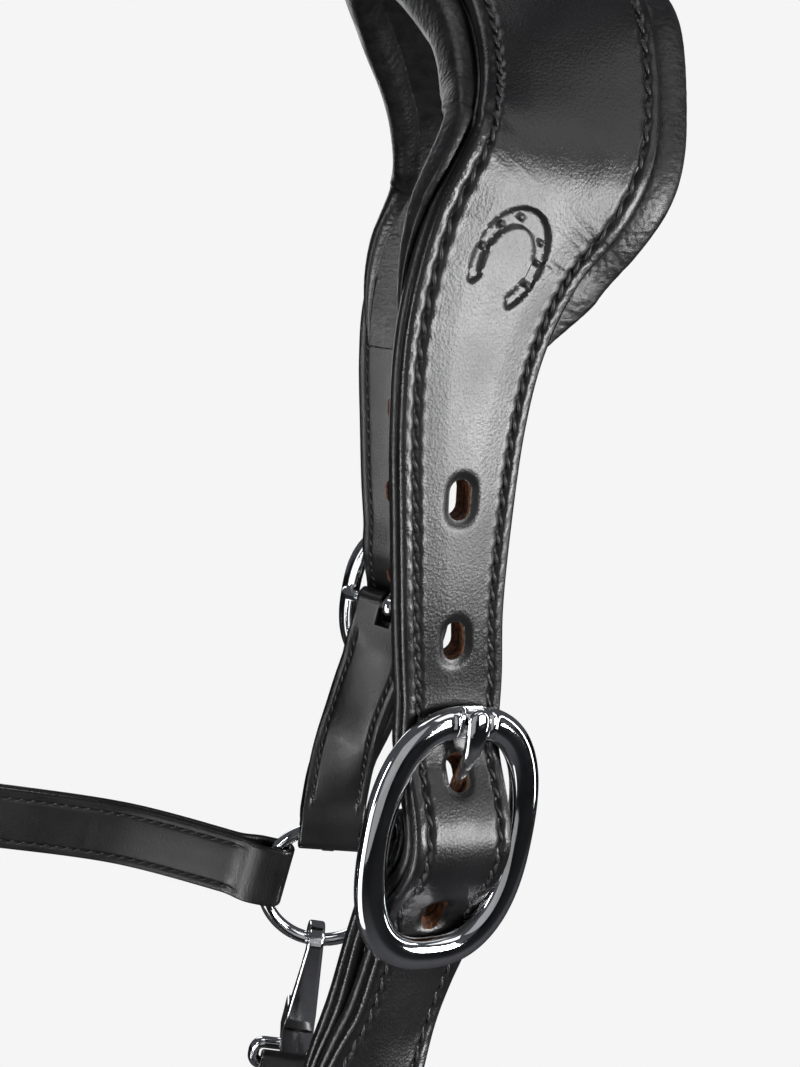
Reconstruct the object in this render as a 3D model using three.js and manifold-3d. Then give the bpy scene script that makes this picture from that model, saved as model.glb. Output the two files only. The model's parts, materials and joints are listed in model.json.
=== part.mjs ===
// Leather headcollar for a horse, in black leather with chromed fittings.
// Millimetres. +X is the horse's left, the nose points along -Y and +Z is up.
// The origin lies on the poll, under the middle of the padded crown.

import * as THREE from 'three';
import { mergeVertices } from 'three/addons/utils/BufferGeometryUtils.js';
import Module from 'manifold-3d';

const wasm = await Module();
wasm.setup();

// ---------------------------------------------------------------- driving dimensions

const GAP = 0.3;                 // air left between two pieces that touch
const STRAP_WIDTH = 25;          // every strap but the flared crown
const CROWN_LAYER = 2.9;         // outer leather and lining of the crown, each
const LAYER = 2.6;               // one layer of a turned-back strap

const BUCKLE_WIDTH = 44.5;       // oval frame, outside
const BUCKLE_HEIGHT = 61.4;
const BUCKLE_BAND = 7.2;         // width of the oval's band
const BUCKLE_DEPTH = 4.6;        // thickness of the oval
const BAR_RADIUS = 2;            // centre bar of a buckle
const BAR_DEPTH = -5;            // centre bar, behind the middle of the frame
const TONGUE_THICKNESS = 2.4;
const TONGUE_WIDTH = 4.4;
const TONGUE_BEND = new THREE.Vector2(22, 2.7);   // height above the bar, height over the frame's middle
const TONGUE_TIP = new THREE.Vector2(30.3, 3);

const RING_RADIUS = 25;          // middle of the wire
const WIRE_RADIUS = 2.5;
const HOLE_PITCH = 31;           // billet holes
const HOLE_WIDTH = 5;
const HOLE_LENGTH = 8.5;

const BUCKLE_CENTRE = new THREE.Vector3(92.25, -7, -198);
const BUCKLE_TURN = 24;          // degrees that the buckle's face turns to the rear
const BUCKLE_TILT = 11;          // degrees that the buckle leans, its foot to the front
const THROAT_RING = new THREE.Vector3(88, -35.3, -313.5);
const CHEEK_EYE_TILT = 6;        // degrees that the cheek piece leans where it meets the ring
const CHEEK_RISE = 15.7;         // degrees that the cheek strap rises to the nose
const CHEEK_LENGTH = 175;        // throat ring to nose ring
const NOSE_HALF_WIDTH = 84;      // nose ring, from the middle
const CHIN_BUCKLE_DROP = 60;     // nose ring to the chin buckle's bar
const SNAP_LENGTH = 60;          // ring wire to the bar that holds the throat strap

const BILLET_DEPTH = -6;         // billet's middle, behind the buckle frame's middle
const BILLET_RISE = 9.85;        // how far it climbs over the bar
const BILLET_REACH = 22.9;       // how far from the bar the climb starts
const BILLET_SWAY = 0.06;        // how much less the billet leans than its buckle
const CHAPE_DEPTH = -12.1;       // middle of the strap that hangs on the bar
const CHAPE_REACH = 20;
const EYE_DEPTH = -14.9;         // ring plane, behind the buckle frame's middle
const EYE_CENTRE = 21;           // end of a strap's eye, from the middle of its ring
const EYE_FLAT = 6.8;            // straight part of the eye
const EYE_RUN = 12;              // length over which the two layers close up

const X = new THREE.Vector3(1, 0, 0);
const Y = new THREE.Vector3(0, 1, 0);
const Z = new THREE.Vector3(0, 0, 1);
const down = new THREE.Vector3(0, 0, -1);
const rad = THREE.MathUtils.degToRad;

// ---------------------------------------------------------------- small helpers

const along = (base, ...steps) => {
  const point = base.clone();
  for (const [direction, distance] of steps) point.addScaledVector(direction, distance);
  return point;
};
const fade = (distance, run) => 0.5 + 0.5 * Math.cos(Math.PI * THREE.MathUtils.clamp(distance / run, 0, 1));
const mirrorX = (vector) => new THREE.Vector3(-vector.x, vector.y, vector.z);

// A mesh geometry from points and triangles, with its faces turned outwards.
function solid(points, triangles) {
  let volume = 0;
  for (const [a, b, c] of triangles) volume += points[a].dot(points[b].clone().cross(points[c]));
  const index = triangles.flatMap(([a, b, c]) => (volume < 0 ? [a, c, b] : [a, b, c]));
  const geometry = new THREE.BufferGeometry().setFromPoints(points);
  geometry.setIndex(index);
  geometry.computeVertexNormals();
  return geometry;
}

// Sweeps a flat outline along frames {p, w, n}; the outline's points are (along w, along n).
function sweep(frames, outlineAt, closed = false) {
  const points = [];
  const triangles = [];
  const outlines = frames.map((frame, i) => {
    const outline = outlineAt(frame, i);
    const area = THREE.ShapeUtils.area(outline.map(([w, n]) => new THREE.Vector2(w, n)));
    return area < 0 ? outline.reverse() : outline;
  });
  const size = outlines[0].length;
  frames.forEach((frame, i) => {
    for (const [w, n] of outlines[i]) points.push(along(frame.p, [frame.w, w], [frame.n, n]));
  });
  const last = closed ? frames.length : frames.length - 1;
  for (let i = 0; i < last; i += 1) {
    const here = i * size;
    const next = ((i + 1) % frames.length) * size;
    for (let j = 0; j < size; j += 1) {
      const k = (j + 1) % size;
      // one diagonal for both sides of a layer, so that two twisted layers stay parallel
      if (outlines[i][k][0] > outlines[i][j][0]) {
        triangles.push([here + j, here + k, next + k], [here + j, next + k, next + j]);
      } else {
        triangles.push([here + j, here + k, next + j], [here + k, next + k, next + j]);
      }
    }
  }
  if (!closed) {
    for (const [i, flip] of [[0, true], [frames.length - 1, false]]) {
      const outline = outlines[i].map(([w, n]) => new THREE.Vector2(w, n));
      for (const [a, b, c] of THREE.ShapeUtils.triangulateShape(outline, [])) {
        const corner = [i * size + a, i * size + b, i * size + c];
        triangles.push(flip ? corner.reverse() : corner);
      }
    }
  }
  return solid(points, triangles);
}

// Frames along a path of points, with the width direction given at each point.
function framesAlong(points, widths, closed = false) {
  return points.map((p, i) => {
    const count = points.length;
    const before = closed ? points[(i + count - 1) % count] : points[Math.max(i - 1, 0)];
    const after = closed ? points[(i + 1) % count] : points[Math.min(i + 1, count - 1)];
    const t = after.clone().sub(before).normalize();
    const w = widths[i].clone().addScaledVector(t, -widths[i].dot(t)).normalize();
    return { p, t, w, n: w.clone().cross(t).normalize() };
  });
}

const rectangle = (half, low, high) => [[-half, low], [half, low], [half, high], [-half, high]];
const circle = (rx, ry, sides) => Array.from({ length: sides }, (_, i) => {
  const angle = (2 * Math.PI * (i + 0.5)) / sides;
  return [rx * Math.cos(angle), ry * Math.sin(angle)];
});

function manifoldOf(geometry) {
  const bare = geometry.clone();
  bare.deleteAttribute('normal');
  bare.deleteAttribute('uv');
  const merged = mergeVertices(bare, 1e-4);
  const mesh = new wasm.Mesh({
    numProp: 3,
    vertProperties: new Float32Array(merged.attributes.position.array),
    triVerts: new Uint32Array(merged.index.array),
  });
  return new wasm.Manifold(mesh);
}

function geometryOf(manifold) {
  const mesh = manifold.getMesh();
  const geometry = new THREE.BufferGeometry();
  geometry.setAttribute('position', new THREE.BufferAttribute(new Float32Array(mesh.vertProperties), 3));
  geometry.setIndex(new THREE.BufferAttribute(new Uint32Array(mesh.triVerts), 1));
  geometry.computeVertexNormals();
  return geometry;
}

function combine(base, added, removed = []) {
  let result = manifoldOf(base);
  for (const geometry of added) result = result.add(manifoldOf(geometry));
  for (const geometry of removed) result = result.subtract(manifoldOf(geometry));
  return geometryOf(result);
}

// Moves a geometry made in (x, y, z) onto a frame's width, up and outward directions.
function place(geometry, frame) {
  const matrix = new THREE.Matrix4().makeBasis(frame.w, frame.u, frame.n);
  matrix.setPosition(frame.p);
  const moved = geometry.clone().applyMatrix4(matrix);
  if (matrix.determinant() > 0) return moved;
  const indexed = moved.index ? moved : mergeVertices(moved);
  const corners = Array.from(indexed.index.array);
  for (let i = 0; i < corners.length; i += 3) [corners[i], corners[i + 1]] = [corners[i + 1], corners[i]];
  indexed.setIndex(corners);
  return indexed;
}

function box(width, height, depth, x = 0, y = 0, z = 0) {
  return new THREE.BoxGeometry(width, height, depth).translate(x, y, z);
}

// ---------------------------------------------------------------- materials and nodes

const FINISHES = {
  leather: { color: 0x0c0b0c, roughness: 0.35, metalness: 0 },
  lining: { color: 0x121011, roughness: 0.5, metalness: 0 },
  pad: { color: 0x100e0f, roughness: 0.45, metalness: 0 },
  chrome: { color: 0xd8dade, roughness: 0.08, metalness: 1 },
  steel: { color: 0x8e9094, roughness: 0.3, metalness: 1 },
};

const headcollar = new THREE.Group();

function node(name, geometry, finish) {
  const mesh = new THREE.Mesh(geometry, new THREE.MeshStandardMaterial(FINISHES[finish]));
  mesh.name = name;
  headcollar.add(mesh);
}

// ---------------------------------------------------------------- turned-back straps

// Two layers of one strap: it turns round a wire at its start, and at its end too unless the end is open.
// stations: {p, w} along the middle; outside: the way its outer face looks halfway along;
// start and end: {half, flat, run} of the eye. The butt joint of the two ends is on the inner layer.
function foldedStrap(stations, outside, start, end, halfWidthAt = () => STRAP_WIDTH / 2) {
  let frames = framesAlong(stations.map((s) => s.p), stations.map((s) => s.w));
  if (frames[Math.floor(frames.length / 2)].n.dot(outside) < 0) {
    frames = framesAlong(stations.map((s) => s.p), stations.map((s) => s.w.clone().negate()));
  }
  const distance = [0];
  for (let i = 1; i < frames.length; i += 1) {
    distance.push(distance[i - 1] + frames[i].p.distanceTo(frames[i - 1].p));
  }
  const length = distance.at(-1);
  const closedHalf = (LAYER + GAP) / 2;
  const halfAt = (d) => closedHalf
    + (start.half - closedHalf) * fade(d - start.flat, start.run)
    + (end ? (end.half - closedHalf) * fade(length - d - end.flat, end.run) : 0);

  const path = [];
  const add = (frame, side, back, d) => {
    path.push({ p: along(frame.p, [frame.n, side], [frame.t, back]), w: frame.w, d });
  };
  const turn = (frame, half, outward) => {
    const steps = 6;
    for (let i = 1; i < steps; i += 1) {
      const angle = (Math.PI * i) / steps;
      const side = half * Math.cos(angle) * (outward < 0 ? -1 : 1);
      add(frame, side, outward * half * Math.sin(angle), outward < 0 ? 0 : length);
    }
  };
  const joint = end ? frames.findIndex((_, i) => distance[i] > length * 0.55) : frames.length - 1;
  for (let i = joint; i >= 0; i -= 1) add(frames[i], -halfAt(distance[i]), 0, distance[i]);
  turn(frames[0], halfAt(0), -1);
  for (let i = 0; i < frames.length; i += 1) add(frames[i], halfAt(distance[i]), 0, distance[i]);
  if (end) {
    turn(frames.at(-1), halfAt(length), 1);
    for (let i = frames.length - 1; i > joint; i -= 1) add(frames[i], -halfAt(distance[i]), 0, distance[i]);
    const butt = path[0].p.clone().sub(path.at(-1).p).normalize();
    const gap = path[0].p.distanceTo(path.at(-1).p) - 2 * GAP;
    path.push({ p: along(path.at(-1).p, [butt, gap]), w: path[0].w, d: distance[joint] });
  }
  const layer = framesAlong(path.map((s) => s.p), path.map((s) => s.w));
  return sweep(layer, (_, i) => rectangle(halfWidthAt(path[i].d, length), -LAYER / 2, LAYER / 2));
}

const wireEye = { half: WIRE_RADIUS + GAP + LAYER / 2, flat: EYE_FLAT, run: EYE_RUN };
const bailEye = { half: BAR_RADIUS + 2 * GAP + LAYER / 2 + 0.1, flat: 0, run: 16 };
const barEye = { half: BAR_RADIUS + GAP + LAYER / 2, flat: 0, run: CHAPE_REACH };
const LOOP_SLACK = 1.2;          // room that a loop leaves round the strap in it
const strapEye = { half: LAYER + GAP / 2 + LOOP_SLACK + LAYER / 2, flat: STRAP_WIDTH + 2, run: EYE_RUN };

// Stations spaced evenly on a smooth curve through points, all with one width direction.
function stationsThrough(points, width, count) {
  const curve = new THREE.CatmullRomCurve3(points, false, 'centripetal');
  return curve.getSpacedPoints(count).map((p) => ({ p, w: width }));
}

// ---------------------------------------------------------------- oval buckle with its tongue

// The frame's up direction u points along the billet that comes in, away from the chape.
function buckleFrame(p, u, n) {
  return { p, u, n, w: u.clone().cross(n).normalize() };
}
const onBuckle = (frame, height, depth) => along(frame.p, [frame.u, height], [frame.n, depth]);

const OVAL_HALF_WIDTH = (BUCKLE_WIDTH - BUCKLE_BAND) / 2;    // middle of the band
const OVAL_HALF_HEIGHT = (BUCKLE_HEIGHT - BUCKLE_BAND) / 2;

function ovalBand(grown = 0) {
  const a = OVAL_HALF_WIDTH;
  const b = OVAL_HALF_HEIGHT;
  const squareness = 2 / 2.5;
  const segments = 28;
  const points = [];
  for (let i = 0; i < segments; i += 1) {
    const angle = (2 * Math.PI * i) / segments;
    const x = a * Math.sign(Math.cos(angle)) * Math.abs(Math.cos(angle)) ** squareness;
    const y = b * Math.sign(Math.sin(angle)) * Math.abs(Math.sin(angle)) ** squareness;
    points.push(new THREE.Vector3(x, y, 0));
  }
  const frames = framesAlong(points, points.map(() => Z), true);
  return sweep(frames, () => circle(BUCKLE_DEPTH / 2 + grown, BUCKLE_BAND / 2 + grown, 8), true);
}

function ovalBuckle(frame) {
  const a = OVAL_HALF_WIDTH;
  const b = OVAL_HALF_HEIGHT;
  const oval = ovalBand();
  const bar = new THREE.CylinderGeometry(BAR_RADIUS, BAR_RADIUS, 2 * a - 2, 12);
  bar.rotateZ(Math.PI / 2).translate(0, 0, BAR_DEPTH);
  const lugs = [-1, 1].map((side) => {
    const lug = new THREE.CylinderGeometry(2.4, 2.4, -BAR_DEPTH + 2, 10);
    return lug.rotateX(Math.PI / 2).translate(side * (a - 1), 0, BAR_DEPTH / 2 - 1);
  });
  const notchFloor = TONGUE_TIP.y - TONGUE_THICKNESS / 2 - 2 * GAP;
  const notch = box(TONGUE_WIDTH + 2, BUCKLE_BAND + 2, 4, 0, b, notchFloor + 2);
  return place(combine(oval, [bar, ...lugs], [notch]), frame);
}

// The tongue's outline in the plane across the bar: x is height, y is depth.
function tongueShape(clearance) {
  const eye = BAR_RADIUS + GAP + TONGUE_THICKNESS;
  const half = TONGUE_THICKNESS / 2 + clearance;
  const slope = Math.atan2(TONGUE_BEND.y - BAR_DEPTH, TONGUE_BEND.x - eye);
  const side = new THREE.Vector2(-Math.sin(slope / 2), Math.cos(slope / 2)).multiplyScalar(half);
  const leave = 1.4 * Math.asin(TONGUE_THICKNESS / 2 / eye);
  const shape = new THREE.Shape();
  shape.moveTo(TONGUE_TIP.x, TONGUE_TIP.y + half);
  shape.lineTo(TONGUE_BEND.x + side.x, TONGUE_BEND.y + side.y);
  shape.absarc(0, BAR_DEPTH, eye, slope / 2 + leave, slope / 2 - leave + 2 * Math.PI, false);
  shape.lineTo(TONGUE_BEND.x - side.x, TONGUE_BEND.y - side.y);
  shape.lineTo(TONGUE_TIP.x, TONGUE_TIP.y - half);
  shape.lineTo(TONGUE_TIP.x + 1, TONGUE_TIP.y);
  return shape;
}

function extrudeAcross(shape, width, segments = 6) {
  const settings = { depth: width, bevelEnabled: false, curveSegments: segments };
  const geometry = new THREE.ExtrudeGeometry(shape, settings).translate(0, 0, -width / 2);
  // shape (x, y) becomes (height, depth), and the extrusion runs across the strap
  const turn = new THREE.Matrix4().makeBasis(Y, Z, X);
  return geometry.applyMatrix4(turn);
}

function tongue(frame) {
  const shape = tongueShape(0);
  const hole = new THREE.Path();
  hole.absarc(0, BAR_DEPTH, BAR_RADIUS + GAP, 0, 2 * Math.PI, true);
  shape.holes.push(hole);
  return place(extrudeAcross(shape, TONGUE_WIDTH), frame);
}

const TONGUE_LIFT = 8;           // degrees that the tongue lifts while the billet is on it

// What the billet loses to let the tongue through, over its whole lift.
function tongueClearances(frame) {
  return [0, TONGUE_LIFT / 2, TONGUE_LIFT].map((lift) => {
    const arm = extrudeAcross(tongueShape(0.4), TONGUE_WIDTH + 0.8, 2);
    arm.translate(0, 0, -BAR_DEPTH).rotateX(rad(lift)).translate(0, 0, BAR_DEPTH);
    return place(arm, frame);
  });
}

function billetHole(frame) {
  const run = (HOLE_LENGTH - HOLE_WIDTH) / 2;
  const shape = new THREE.Shape();
  shape.absarc(0, run, HOLE_WIDTH / 2, 0, Math.PI, false);
  shape.absarc(0, -run, HOLE_WIDTH / 2, Math.PI, 2 * Math.PI, false);
  const settings = { depth: 16, bevelEnabled: false, curveSegments: 4 };
  return place(new THREE.ExtrudeGeometry(shape, settings).translate(0, 0, -8), frame);
}

const billetDepth = (height) => BILLET_DEPTH + BILLET_RISE * fade(Math.abs(height), BILLET_REACH);
const billetShift = (height) => -BILLET_SWAY * height - 0.09 * Math.max(height - 17, 0);
const chapeDepth = (height) => CHAPE_DEPTH + (BAR_DEPTH - CHAPE_DEPTH) * fade(Math.abs(height), CHAPE_REACH);

// The slot at the fold of a chape, where the tongue's eye sits on the bar.
const chapeSlot = (frame) => place(box(TONGUE_WIDTH + 1.6, 15, 16, 0, 1, BAR_DEPTH), frame);

// ---------------------------------------------------------------- crown buckles and cheek pieces

const faceOut = new THREE.Vector3(Math.cos(rad(BUCKLE_TURN)), Math.sin(rad(BUCKLE_TURN)), 0);
const levelBack = new THREE.Vector3(-faceOut.y, faceOut.x, 0);
const buckleUp = levelBack.clone().multiplyScalar(Math.sin(rad(BUCKLE_TILT)))
  .addScaledVector(Z, Math.cos(rad(BUCKLE_TILT)));
const crownBuckle = buckleFrame(BUCKLE_CENTRE, buckleUp, faceOut);

const ringUp = new THREE.Vector3(0, Math.sin(rad(BUCKLE_TILT)), Math.cos(rad(BUCKLE_TILT)));
const ringBack = new THREE.Vector3(0, ringUp.z, -ringUp.y);

const eyeUp = new THREE.Vector3(0, Math.sin(rad(CHEEK_EYE_TILT)), Math.cos(rad(CHEEK_EYE_TILT)));
const eyeBack = new THREE.Vector3(0, eyeUp.z, -eyeUp.y);

// Middle of the cheek piece on the left, from the buckle's bar (0) down to its eye on the throat ring.
const cheekPieceLength = 97.2;
const cheekBend = new THREE.CubicBezierCurve3(
  onBuckle(crownBuckle, -22, CHAPE_DEPTH),
  along(onBuckle(crownBuckle, -47, CHAPE_DEPTH), [Y, -5]),
  along(THROAT_RING, [eyeUp, EYE_CENTRE + 25]),
  along(THROAT_RING, [eyeUp, EYE_CENTRE]),
);
const backAcross = crownBuckle.w.y > 0 ? crownBuckle.w : crownBuckle.w.clone().negate();

function cheekPieceStation(drop) {
  if (drop <= 22) return { p: onBuckle(crownBuckle, -drop, chapeDepth(drop)), w: backAcross };
  const t = (drop - 22) / (cheekPieceLength - 22);
  const twist = rad(8) * Math.sin(Math.PI * THREE.MathUtils.clamp((drop - 20) / 50, 0, 1)) ** 2;
  const turned = backAcross.clone().applyAxisAngle(buckleUp, twist);
  const w = turned.lerp(eyeBack, 1 - fade(drop - 40, 45)).normalize();
  return { p: cheekBend.getPoint(t), w };
}
const barSteps = [4, 8, 12, 16, 21, 26];                     // heights where the straps bend round the bar
const cheekPieceSteps = [0, ...barSteps, 36, 46, 56, 66, 73, 78, 83, 90, cheekPieceLength];
const cheekPieceStations = cheekPieceSteps.map(cheekPieceStation);

// ---------------------------------------------------------------- crown

// Left half of the crown's middle line from the poll down to the buckle, between leather and lining.
// p is the place, back the turn of the width to the side, rise its slope, half the leather's half width.
// roll: how far the front and the rear padded roll stand out past the leather, and how full they are.
const crownShape = [
  { p: [0, 0, 8.4], back: 0, rise: 0.02, half: 20.5, roll: [7, 9.5, 0.8] },
  { p: [17, 1.5, 6.6], back: 3, rise: 0.03, half: 20.5, roll: [7, 9.5, 0.8] },
  { p: [34, 6, 0.8], back: 6, rise: 0.04, half: 20.5, roll: [7, 9.5, 0.8] },
  { p: [50, 12, -9.5], back: 9, rise: 0.05, half: 20.5, roll: [7, 9.7, 0.78] },
  { p: [65.8, 17, -23.1], back: 13, rise: 0.05, half: 20.4, roll: [6.5, 10, 0.74] },
  { p: [76.8, 17.7, -41.5], back: 18, rise: 0.03, half: 20.2, roll: [5.6, 9.4, 0.68] },
  { p: [83.6, 13.5, -55.4], back: 21, rise: 0.01, half: 20, roll: [4.2, 8.8, 0.6] },
  { p: [86.5, 3.8, -71], back: 23, rise: -0.02, half: 18.6, roll: [2.4, 9.4, 0.47] },
  { p: [87.5, -2.4, -88], back: 24, rise: -0.05, half: 17, roll: [0.7, 6.2, 0.3] },
  { p: [87.7, -5.3, -106], back: 24, rise: -0.08, half: 15.3, roll: [-0.4, -0.4, 0.1] },
  { p: [87.6, -6.6, -128], back: 24, rise: -0.12, half: 13.7, roll: [-0.4, -0.4, 0.1] },
  { p: [87.2, -7.2, -148], back: 24, rise: -0.17, half: 12.7, roll: [-0.4, -0.4, 0.1] },
];
const NO_ROLL = new THREE.Vector3(-0.4, -0.4, 0.1);

function crownHalf() {
  const stations = crownShape.map(({ p, back, rise, half, roll }) => {
    const w = new THREE.Vector3(-Math.sin(rad(back)), Math.cos(rad(back)), rise).normalize();
    return { p: new THREE.Vector3(...p), w, half, roll: new THREE.Vector3(...roll) };
  });
  const heights = [34, ...barSteps.slice().reverse(), 0, ...barSteps.map((step) => -step)];
  const strapHalf = STRAP_WIDTH / 2;
  for (const height of heights) {
    const middle = onBuckle(crownBuckle, height, billetDepth(height));
    const p = along(middle, [backAcross, billetShift(height)]);
    stations.push({ p, w: backAcross, half: strapHalf, roll: NO_ROLL });
  }
  // below the buckle the billet lies on the cheek piece, clear of the eye on the ring
  const tail = [[36, 12.5], [46, 12.5], [56, 12.5], [66, 12.5], [76, 12.5], [86, 12.5], [94, 12.5],
    [99, 10], [103, 6.5], [107, 2.4]];
  for (const [drop, half] of tail) {
    const at = Math.min(drop, cheekPieceLength);
    const [here, next] = framesAlong(
      [cheekPieceStation(at - 2).p, cheekPieceStation(at).p],
      [cheekPieceStation(at - 2).w, cheekPieceStation(at).w],
    ).slice(0, 2);
    const outward = next.n.x > 0 ? next.n : next.n.clone().negate();
    const lift = BILLET_DEPTH - CHAPE_DEPTH + (CHAPE_DEPTH - EYE_DEPTH) * (1 - fade(drop - 40, 42));
    const shift = billetShift(-drop) * fade(drop - 26, 30);
    const p = along(next.p, [outward, lift], [here.t, drop - at], [next.w, shift]);
    stations.push({ p, w: next.w, half, roll: NO_ROLL });
  }
  return stations;
}

// Both halves in one list from the left tip over the poll to the right tip, with long steps divided.
function crownStations() {
  const left = crownHalf();
  const right = left.slice(1).map((s) => ({ ...s, p: mirrorX(s.p), w: mirrorX(s.w) }));
  const all = [...left.reverse(), ...right];
  const place3 = new THREE.CatmullRomCurve3(all.map((s) => s.p), false, 'catmullrom');
  const width3 = new THREE.CatmullRomCurve3(all.map((s) => s.w), false, 'catmullrom');
  const halves = all.map((s) => new THREE.Vector3(s.half, 0, 0));
  const half3 = new THREE.CatmullRomCurve3(halves, false, 'catmullrom');
  const roll3 = new THREE.CatmullRomCurve3(all.map((s) => s.roll), false, 'catmullrom');
  const stations = [];
  for (let i = 0; i < all.length; i += 1) {
    const last = i === all.length - 1;
    const cuts = last ? 1 : Math.ceil(all[i].p.distanceTo(all[i + 1].p) / 14);
    for (let j = 0; j < cuts; j += 1) {
      const t = (i + j / cuts) / (all.length - 1);
      const half = half3.getPoint(t).x;
      stations.push({ p: place3.getPoint(t), w: width3.getPoint(t), half, roll: roll3.getPoint(t) });
    }
  }
  const frames = framesAlong(stations.map((s) => s.p), stations.map((s) => s.w));
  return frames.map((frame, i) => ({ ...frame, half: stations[i].half, roll: stations[i].roll }));
}

const crownFrames = crownStations();
// the frames' n points away from the horse: checked at the poll
if (crownFrames[Math.floor(crownFrames.length / 2)].n.z < 0) throw new Error('crown is inside out');

function crownFrameAt(height, side) {
  const onSide = crownFrames.filter((f) => f.p.x * side > 60);
  const byDistance = onSide.map((f) => ({ f, gap: Math.abs(f.p.z - height) }));
  byDistance.sort((a, b) => a.gap - b.gap);
  const [first, second] = byDistance;
  const share = first.gap / (first.gap + second.gap);
  const p = first.f.p.clone().lerp(second.f.p, share);
  return { p, w: first.f.w, u: first.f.t, n: first.f.n };
}

const TONGUE_HOLE = 14;          // height of the hole in use above the bar
const holeHeights = [-1, 0, 1, 2].map((step) => TONGUE_HOLE + HOLE_PITCH * step);

const mirrorFrame = (f) => ({ p: mirrorX(f.p), u: mirrorX(f.u), n: mirrorX(f.n), w: mirrorX(f.w) });

function crownCuts() {
  const cuts = [];
  for (const side of [1, -1]) {
    for (const height of holeHeights) cuts.push(billetHole(crownFrameAt(BUCKLE_CENTRE.z + height, side)));
    const frame = side > 0 ? crownBuckle : mirrorFrame(crownBuckle);
    cuts.push(...tongueClearances(frame));
  }
  return cuts;
}

function crownLeather() {
  const half = GAP / 2;
  const top = half + CROWN_LAYER;
  // the frame's band presses slightly into the billet's shoulders
  const pressed = [crownBuckle, mirrorFrame(crownBuckle)].map((frame) => place(ovalBand(GAP / 2), frame));
  return combine(sweep(crownFrames, (f) => rectangle(f.half, half, top)), [], [...crownCuts(), ...pressed]);
}

function crownLining() {
  const half = GAP / 2;
  const section = (f) => rectangle(f.half, -half - CROWN_LAYER, -half);
  return combine(sweep(crownFrames, section), [], crownCuts());
}

const PAD_TOP = -(CROWN_LAYER + 1.5 * GAP);
const PAD_END = -100;            // height where the pad has thinned out

// A channel between two soft rolls; both rolls stand beside the leather's edges and fade out at the ends.
function crownPad() {
  const frames = crownFrames.filter((f) => f.p.z > PAD_END);
  const section = (f) => {
    const full = f.roll.z;
    const deep = PAD_TOP - 9.2 * full;
    const web = PAD_TOP - 3.2 * full;
    const rollAt = (out) => {
      const b = f.half + out;
      const a = Math.min(f.half + GAP, b - 0.4);
      const shoulder = PAD_TOP + 2.4 * full * THREE.MathUtils.clamp((out - 0.8) / 2, 0, 1);
      return [
        [a, PAD_TOP], [a, shoulder + 0.01], [b - 0.35 * (b - a), shoulder], [b, PAD_TOP - 3 * full],
        [b - 1.2 * full, deep + 2.4 * full], [b - 5 * full, deep], [b - 9 * full, deep + 0.6 * full],
        [b - 13 * full, web],
      ];
    };
    const front = rollAt(f.roll.x).reverse().map(([w, n]) => [-w, n]);
    return [...rollAt(f.roll.y), ...front];
  };
  return sweep(frames, section);
}

node('crown_strap', crownLeather(), 'leather');
node('crown_lining', crownLining(), 'lining');
node('crown_pad', crownPad(), 'pad');

// ---------------------------------------------------------------- cheeks, one side at a time

const cheekForward = new THREE.Vector3(0, -Math.cos(rad(CHEEK_RISE)), Math.sin(rad(CHEEK_RISE)));
const noseUp = new THREE.Vector3(0, Math.sin(rad(CHEEK_RISE)), Math.cos(rad(CHEEK_RISE)));
const noseRing = along(THROAT_RING, [cheekForward, CHEEK_LENGTH]).setX(NOSE_HALF_WIDTH);

// A round ring whose plane faces sideways.
function ring(centre) {
  const torus = new THREE.TorusGeometry(RING_RADIUS, WIRE_RADIUS, 8, 24);
  return torus.rotateY(Math.PI / 2).translate(centre.x, centre.y, centre.z);
}

for (const [side, label] of [[1, 'left'], [-1, 'right']]) {
  const onSide = (v) => (side > 0 ? v.clone() : mirrorX(v));
  const frame = side > 0 ? crownBuckle : mirrorFrame(crownBuckle);
  node(`crown_buckle_${label}`, ovalBuckle(frame), 'chrome');
  node(`crown_tongue_${label}`, tongue(frame), 'chrome');

  const piece = cheekPieceStations.map(({ p, w }) => ({ p: onSide(p), w: onSide(w) }));
  const cheekPiece = foldedStrap(piece, onSide(X), barEye, wireEye);
  node(`cheek_piece_${label}`, combine(cheekPiece, [], [chapeSlot(frame)]), 'leather');
  node(`throat_ring_${label}`, ring(onSide(THROAT_RING)), 'chrome');
  node(`nose_ring_${label}`, ring(onSide(noseRing)), 'chrome');

  const from = onSide(along(THROAT_RING, [cheekForward, EYE_CENTRE]));
  const to = onSide(along(noseRing, [cheekForward, -EYE_CENTRE]));
  const bow = onSide(new THREE.Vector3(5, 0, 0));
  const cheek = new THREE.CatmullRomCurve3([
    from, along(from, [cheekForward, 9]), along(from, [cheekForward, 62]).add(bow),
    along(to, [cheekForward, -9]), to,
  ], false, 'centripetal');
  const stations = [0, 0.03, 0.06, 0.1, 0.15, 0.22, 0.32, 0.44, 0.56, 0.68, 0.78, 0.85, 0.9, 0.94, 0.97, 1]
    .map((t) => ({ p: cheek.getPointAt(t), w: noseUp }));
  node(`cheek_strap_${label}`, foldedStrap(stations, onSide(X), wireEye, wireEye), 'leather');
}

// ---------------------------------------------------------------- noseband

// A point in the noseband's plane: x sideways, h up from the nose rings.
const onNose = (x, h) => along(new THREE.Vector3(x, noseRing.y, noseRing.z), [noseUp, h]);
const noseArch = [[84, EYE_CENTRE], [84, 32], [83, 50], [77, 70], [64, 87], [44, 99], [22, 104.5]];
const nosePoints = [
  ...noseArch.map(([x, h]) => onNose(x, h)), onNose(0, 106),
  ...noseArch.slice().reverse().map(([x, h]) => onNose(-x, h)),
];
const noseStations = stationsThrough(nosePoints, cheekForward, 32);
node('noseband', foldedStrap(noseStations, Z, wireEye, wireEye), 'leather');

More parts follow.
